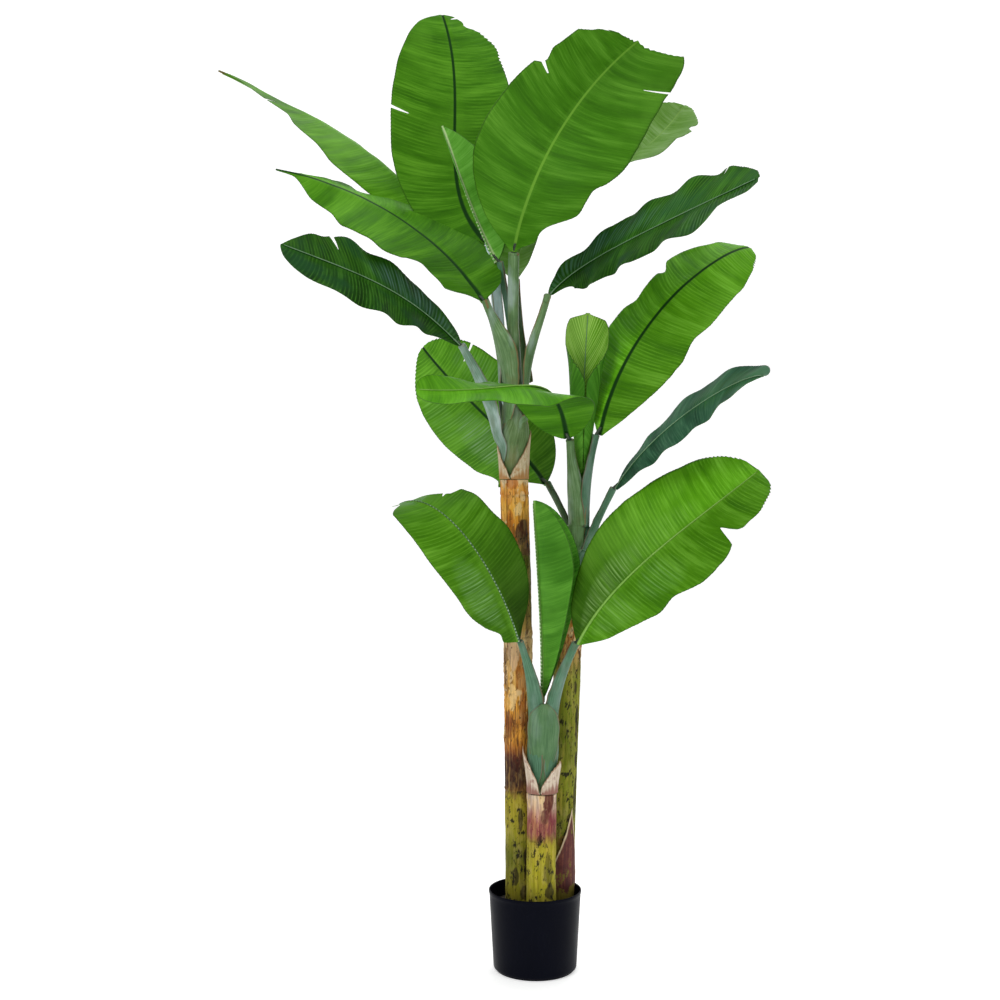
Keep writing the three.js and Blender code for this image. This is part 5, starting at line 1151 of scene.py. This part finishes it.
def build_wrap(name, s, seed, nv=90, nu=44):
    rows = s["rows"]
    z0, z1 = rows[0][0], rows[-1][0]
    v = np.linspace(0, 1, nv)
    tab = [[(r[0] - z0) / (z1 - z0), r[1], r[2], r[3]] for r in rows]
    L_, R_, D_ = (smooth_table(tab, c, v, 0.06) for c in (1, 2, 3))
    L_ = L_ + 1.2 * noise(v * 16, seed)
    R_ = R_ + 1.2 * noise(v * 16, seed + 3.3)
    w = np.linspace(0, 1, nu)[None]
    ang = np.radians(L_[:, None] + (R_ - L_)[:, None] * w)
    z = (z0 + (z1 - z0) * v)[:, None]
    cx, cy, cr = crown_axis(s["key"], z)
    lip = np.minimum(w, 1 - w) * (R_ - L_)[:, None] / 57.3 * 28.0
    r = (D_[:, None] if s.get("absolute") else cr + D_[:, None]) + 0.5 * np.cos(ang * 14) * step(lip, 2, 8) + 0.6 * fbm(w * 6, v[:, None] * 4, seed, seed, 3) - 1.2 * np.exp(-lip / 2.2)
    r = np.maximum(r, 17.0)
    P = np.stack([cx + r * np.cos(ang), cy + r * np.sin(ang), np.broadcast_to(z, r.shape)], -1)
    uv = np.stack([np.broadcast_to((z1 - z) / 100, r.shape), np.broadcast_to(w * 2 - 1, r.shape)], -1)
    V, F, (uvq,), kind = thicken(P.reshape(-1, 3), grid_faces(nv, nu), 1.1, (uv.reshape(-1, 2),))
    new_object(name, V, F, s["mat"], (), {"along": uvq})


for i, (nm, s) in enumerate(WRAPS.items()):
    build_wrap(nm, s, 120 + i)

# ------------------------------------------------------------------ pot and filling
POT = [(0.0, 0.0), (72.0, 0.0), (75.2, 0.5), (76.0, 1.6), (76.2, 3.6), (77.6, 4.2), (79.2, 4.9), (79.9, 6.5)]
POT += [(79.9 + (87.9 - 79.9) * k, 6.5 + (145.0 - 6.5) * k) for k in np.linspace(0.04, 1, 26)]
POT += [(88.4, 146.0), (88.9, 148.0), (89.0, 150.5), (88.7, 152.3), (88.0, 153.0), (87.3, 152.6), (86.8, 151.0)]
POT += [(86.3 + (77.8 - 86.3) * k, 147.0 + (8.5 - 147.0) * k) for k in np.linspace(0, 1, 18)]
POT += [(76.5, 6.6), (0.0, 6.2)]


def build_lathe(name, prof, n, mat, node, wobble=0.0, seed=0):
    prof = np.array(prof, float)
    body = prof[1:-1]
    a = np.linspace(0, 2 * np.pi, n, endpoint=False)[None]
    r = body[:, 0][:, None]
    z = body[:, 1][:, None] + np.zeros_like(a)
    R = r + wobble * fbm(a / (2 * np.pi) * 6, z / 60, 0, seed, 2, 6) * step(r, 60, 80)
    V = np.stack([R * np.cos(a), R * np.sin(a), z], -1).reshape(-1, 3)
    F = grid_faces(len(body), n, True)
    V = np.concatenate([V, [[0, 0, prof[0, 1]], [0, 0, prof[-1, 1]]]])
    T = fan_caps(F, np.arange(n), np.arange(n) + (len(body) - 1) * n, len(V) - 2, len(V) - 1)
    return new_object(name, V, F, mat, (node,), tris=T)


def pot_material():
    k = Nodes("pot_black")
    o = k.obj()
    n = k.noise(o, 18.0, 4)
    fine = k.noise(k.scaled(o, 900, 900, 900), 1.0, 2)
    lines = k.noise(k.scaled(o, 3, 3, 700), 1.0, 2)
    base = k.mix(n, (0.0012, 0.0016, 0.0044), (0.0022, 0.0028, 0.0075))
    base = k.mix(k.range(k.noise(o, 300.0, 2), 0.66, 0.74, 0, 0.25), base, (0.012, 0.012, 0.014))
    h = k.math("ADD", k.math("MULTIPLY", fine, 0.7), k.math("MULTIPLY", lines, 0.3))
    return k.finish(base, k.range(n, 0.3, 0.7, 0.34, 0.44), k.bump(h, 0.0003, 0.5), 0.04)


build_lathe("pot_shell", POT, 128, pot_material(), "pot", 0.15, 3)


def fill_material():
    k = Nodes("cast_fill")
    o = k.obj()
    n = k.noise(o, 60.0, 6, 0.65)
    g = k.noise(o, 420.0, 3)
    base = k.ramp(n, [(0.3, (0.012, 0.010, 0.008)), (0.5, (0.030, 0.024, 0.018)), (0.7, (0.060, 0.050, 0.040))])
    base = k.mix(k.range(g, 0.62, 0.72, 0, 0.6), base, (0.10, 0.088, 0.07))
    return k.finish(base, k.range(n, 0.3, 0.7, 0.8, 0.97), k.bump(k.math("ADD", n, k.math("MULTIPLY", g, 0.4)), 0.002, 0.8), 0.3)


def build_fill():
    nr, na = 46, 150
    q = np.linspace(0, 1, nr)[:, None]
    a = np.linspace(0, 2 * np.pi, na, endpoint=False)[None]
    r = 84.2 * q
    z = 126.0 - 3.0 * step(q, 0.8, 1.0) + 0 * a
    z = z + (0.9 * fbm(r * np.cos(a) / 14, r * np.sin(a) / 14, 0, 91, 4) + 0.35 * noise(r * np.cos(a) / 3, r * np.sin(a) / 3, 0, 92)) - 0.9
    top = np.stack([r * np.cos(a), r * np.sin(a), z], -1)[1:]
    side = []
    for zz in (90.0, 50.0, 6.6):
        rr = 77.2 + (zz - 6.6) / (123 - 6.6) * 6.6
        side.append(np.stack([rr * np.cos(a[0]), rr * np.sin(a[0]), np.full(na, zz)], -1))
    rings = np.concatenate([top, np.array(side)])
    n = len(rings)
    V = rings.reshape(-1, 3)
    F = grid_faces(n, na, True)[:, ::-1]
    V = np.concatenate([V, [[0, 0, float(z[0, 0])], [0, 0, 6.6]]])
    T = fan_caps(F, np.arange(na), np.arange(na) + (n - 1) * na, len(V) - 2, len(V) - 1)[:, ::-1]
    new_object("pot_cast_fill", V, F, fill_material(), ("pot_fill",), tris=T)


build_fill()

# ------------------------------------------------------------------ stage and light
def stage_material():
    k = Nodes("stage")
    n = k.noise(k.obj(), 2.0, 2)
    base = k.mix(n, (0.90, 0.90, 0.90), (0.92, 0.92, 0.92))
    k.b.inputs["Emission Color"].default_value = (1, 1, 1, 1)
    k.b.inputs["Emission Strength"].default_value = 0.42
    return k.finish(base, 0.9, None, 0.1)


def build_stage():
    # floor that curves up into a backdrop far behind
    y = np.concatenate([np.linspace(-12, 6, 40), 6 + 4 * np.sin(np.linspace(0, np.pi / 2, 24)[1:]), np.full(12, 10.0)])
    z = np.concatenate([np.zeros(40), 4 - 4 * np.cos(np.linspace(0, np.pi / 2, 24)[1:]), np.linspace(4.5, 10, 12)])
    x = np.linspace(-14, 14, 40)
    V = np.stack([np.broadcast_to(x[None], (len(y), 40)), np.broadcast_to(y[:, None], (len(y), 40)), np.broadcast_to(z[:, None], (len(y), 40))], -1).reshape(-1, 3)
    me = bpy.data.meshes.new("stage_floor")
    me.from_pydata(V.tolist(), [], grid_faces(len(y), 40).tolist())
    for p in me.polygons:
        p.use_smooth = True
    ob = bpy.data.objects.new("stage_floor", me)
    me.materials.append(stage_material())
    bpy.context.scene.collection.objects.link(ob)


build_stage()

world = bpy.data.worlds.new("studio")
bpy.context.scene.world = world
world.use_nodes = True
bg = world.node_tree.nodes["Background"]
bg.inputs[0].default_value = (1.0, 1.0, 1.0, 1)
bg.inputs[1].default_value = 0.55


def area(name, loc, target, size, power, color=(1, 1, 1), size_y=None):
    d = bpy.data.lights.new(name, "AREA")
    d.energy = power
    d.color = color
    d.shape = "RECTANGLE"
    d.size = size
    d.size_y = size_y or size
    ob = bpy.data.objects.new(name, d)
    ob.location = loc
    ob.rotation_euler = (Vector(target) - Vector(loc)).to_track_quat("-Z", "Y").to_euler()
    bpy.context.scene.collection.objects.link(ob)


area("key", (-1.9, -2.6, 3.1), (0, 0, 1.1), 1.6, 42)
area("fill", (2.6, -2.2, 1.8), (0, 0, 1.0), 1.8, 18)
area("top", (0.3, 0.6, 3.6), (0, 0, 1.2), 2.0, 30)
area("back", (0.6, 2.8, 2.2), (0, 0, 1.1), 1.8, 22)

sc = bpy.context.scene
sc.view_settings.view_transform = "Standard"
sc.view_settings.look = "None"
sc.view_settings.exposure = 0.0
sc.view_settings.gamma = 1.0
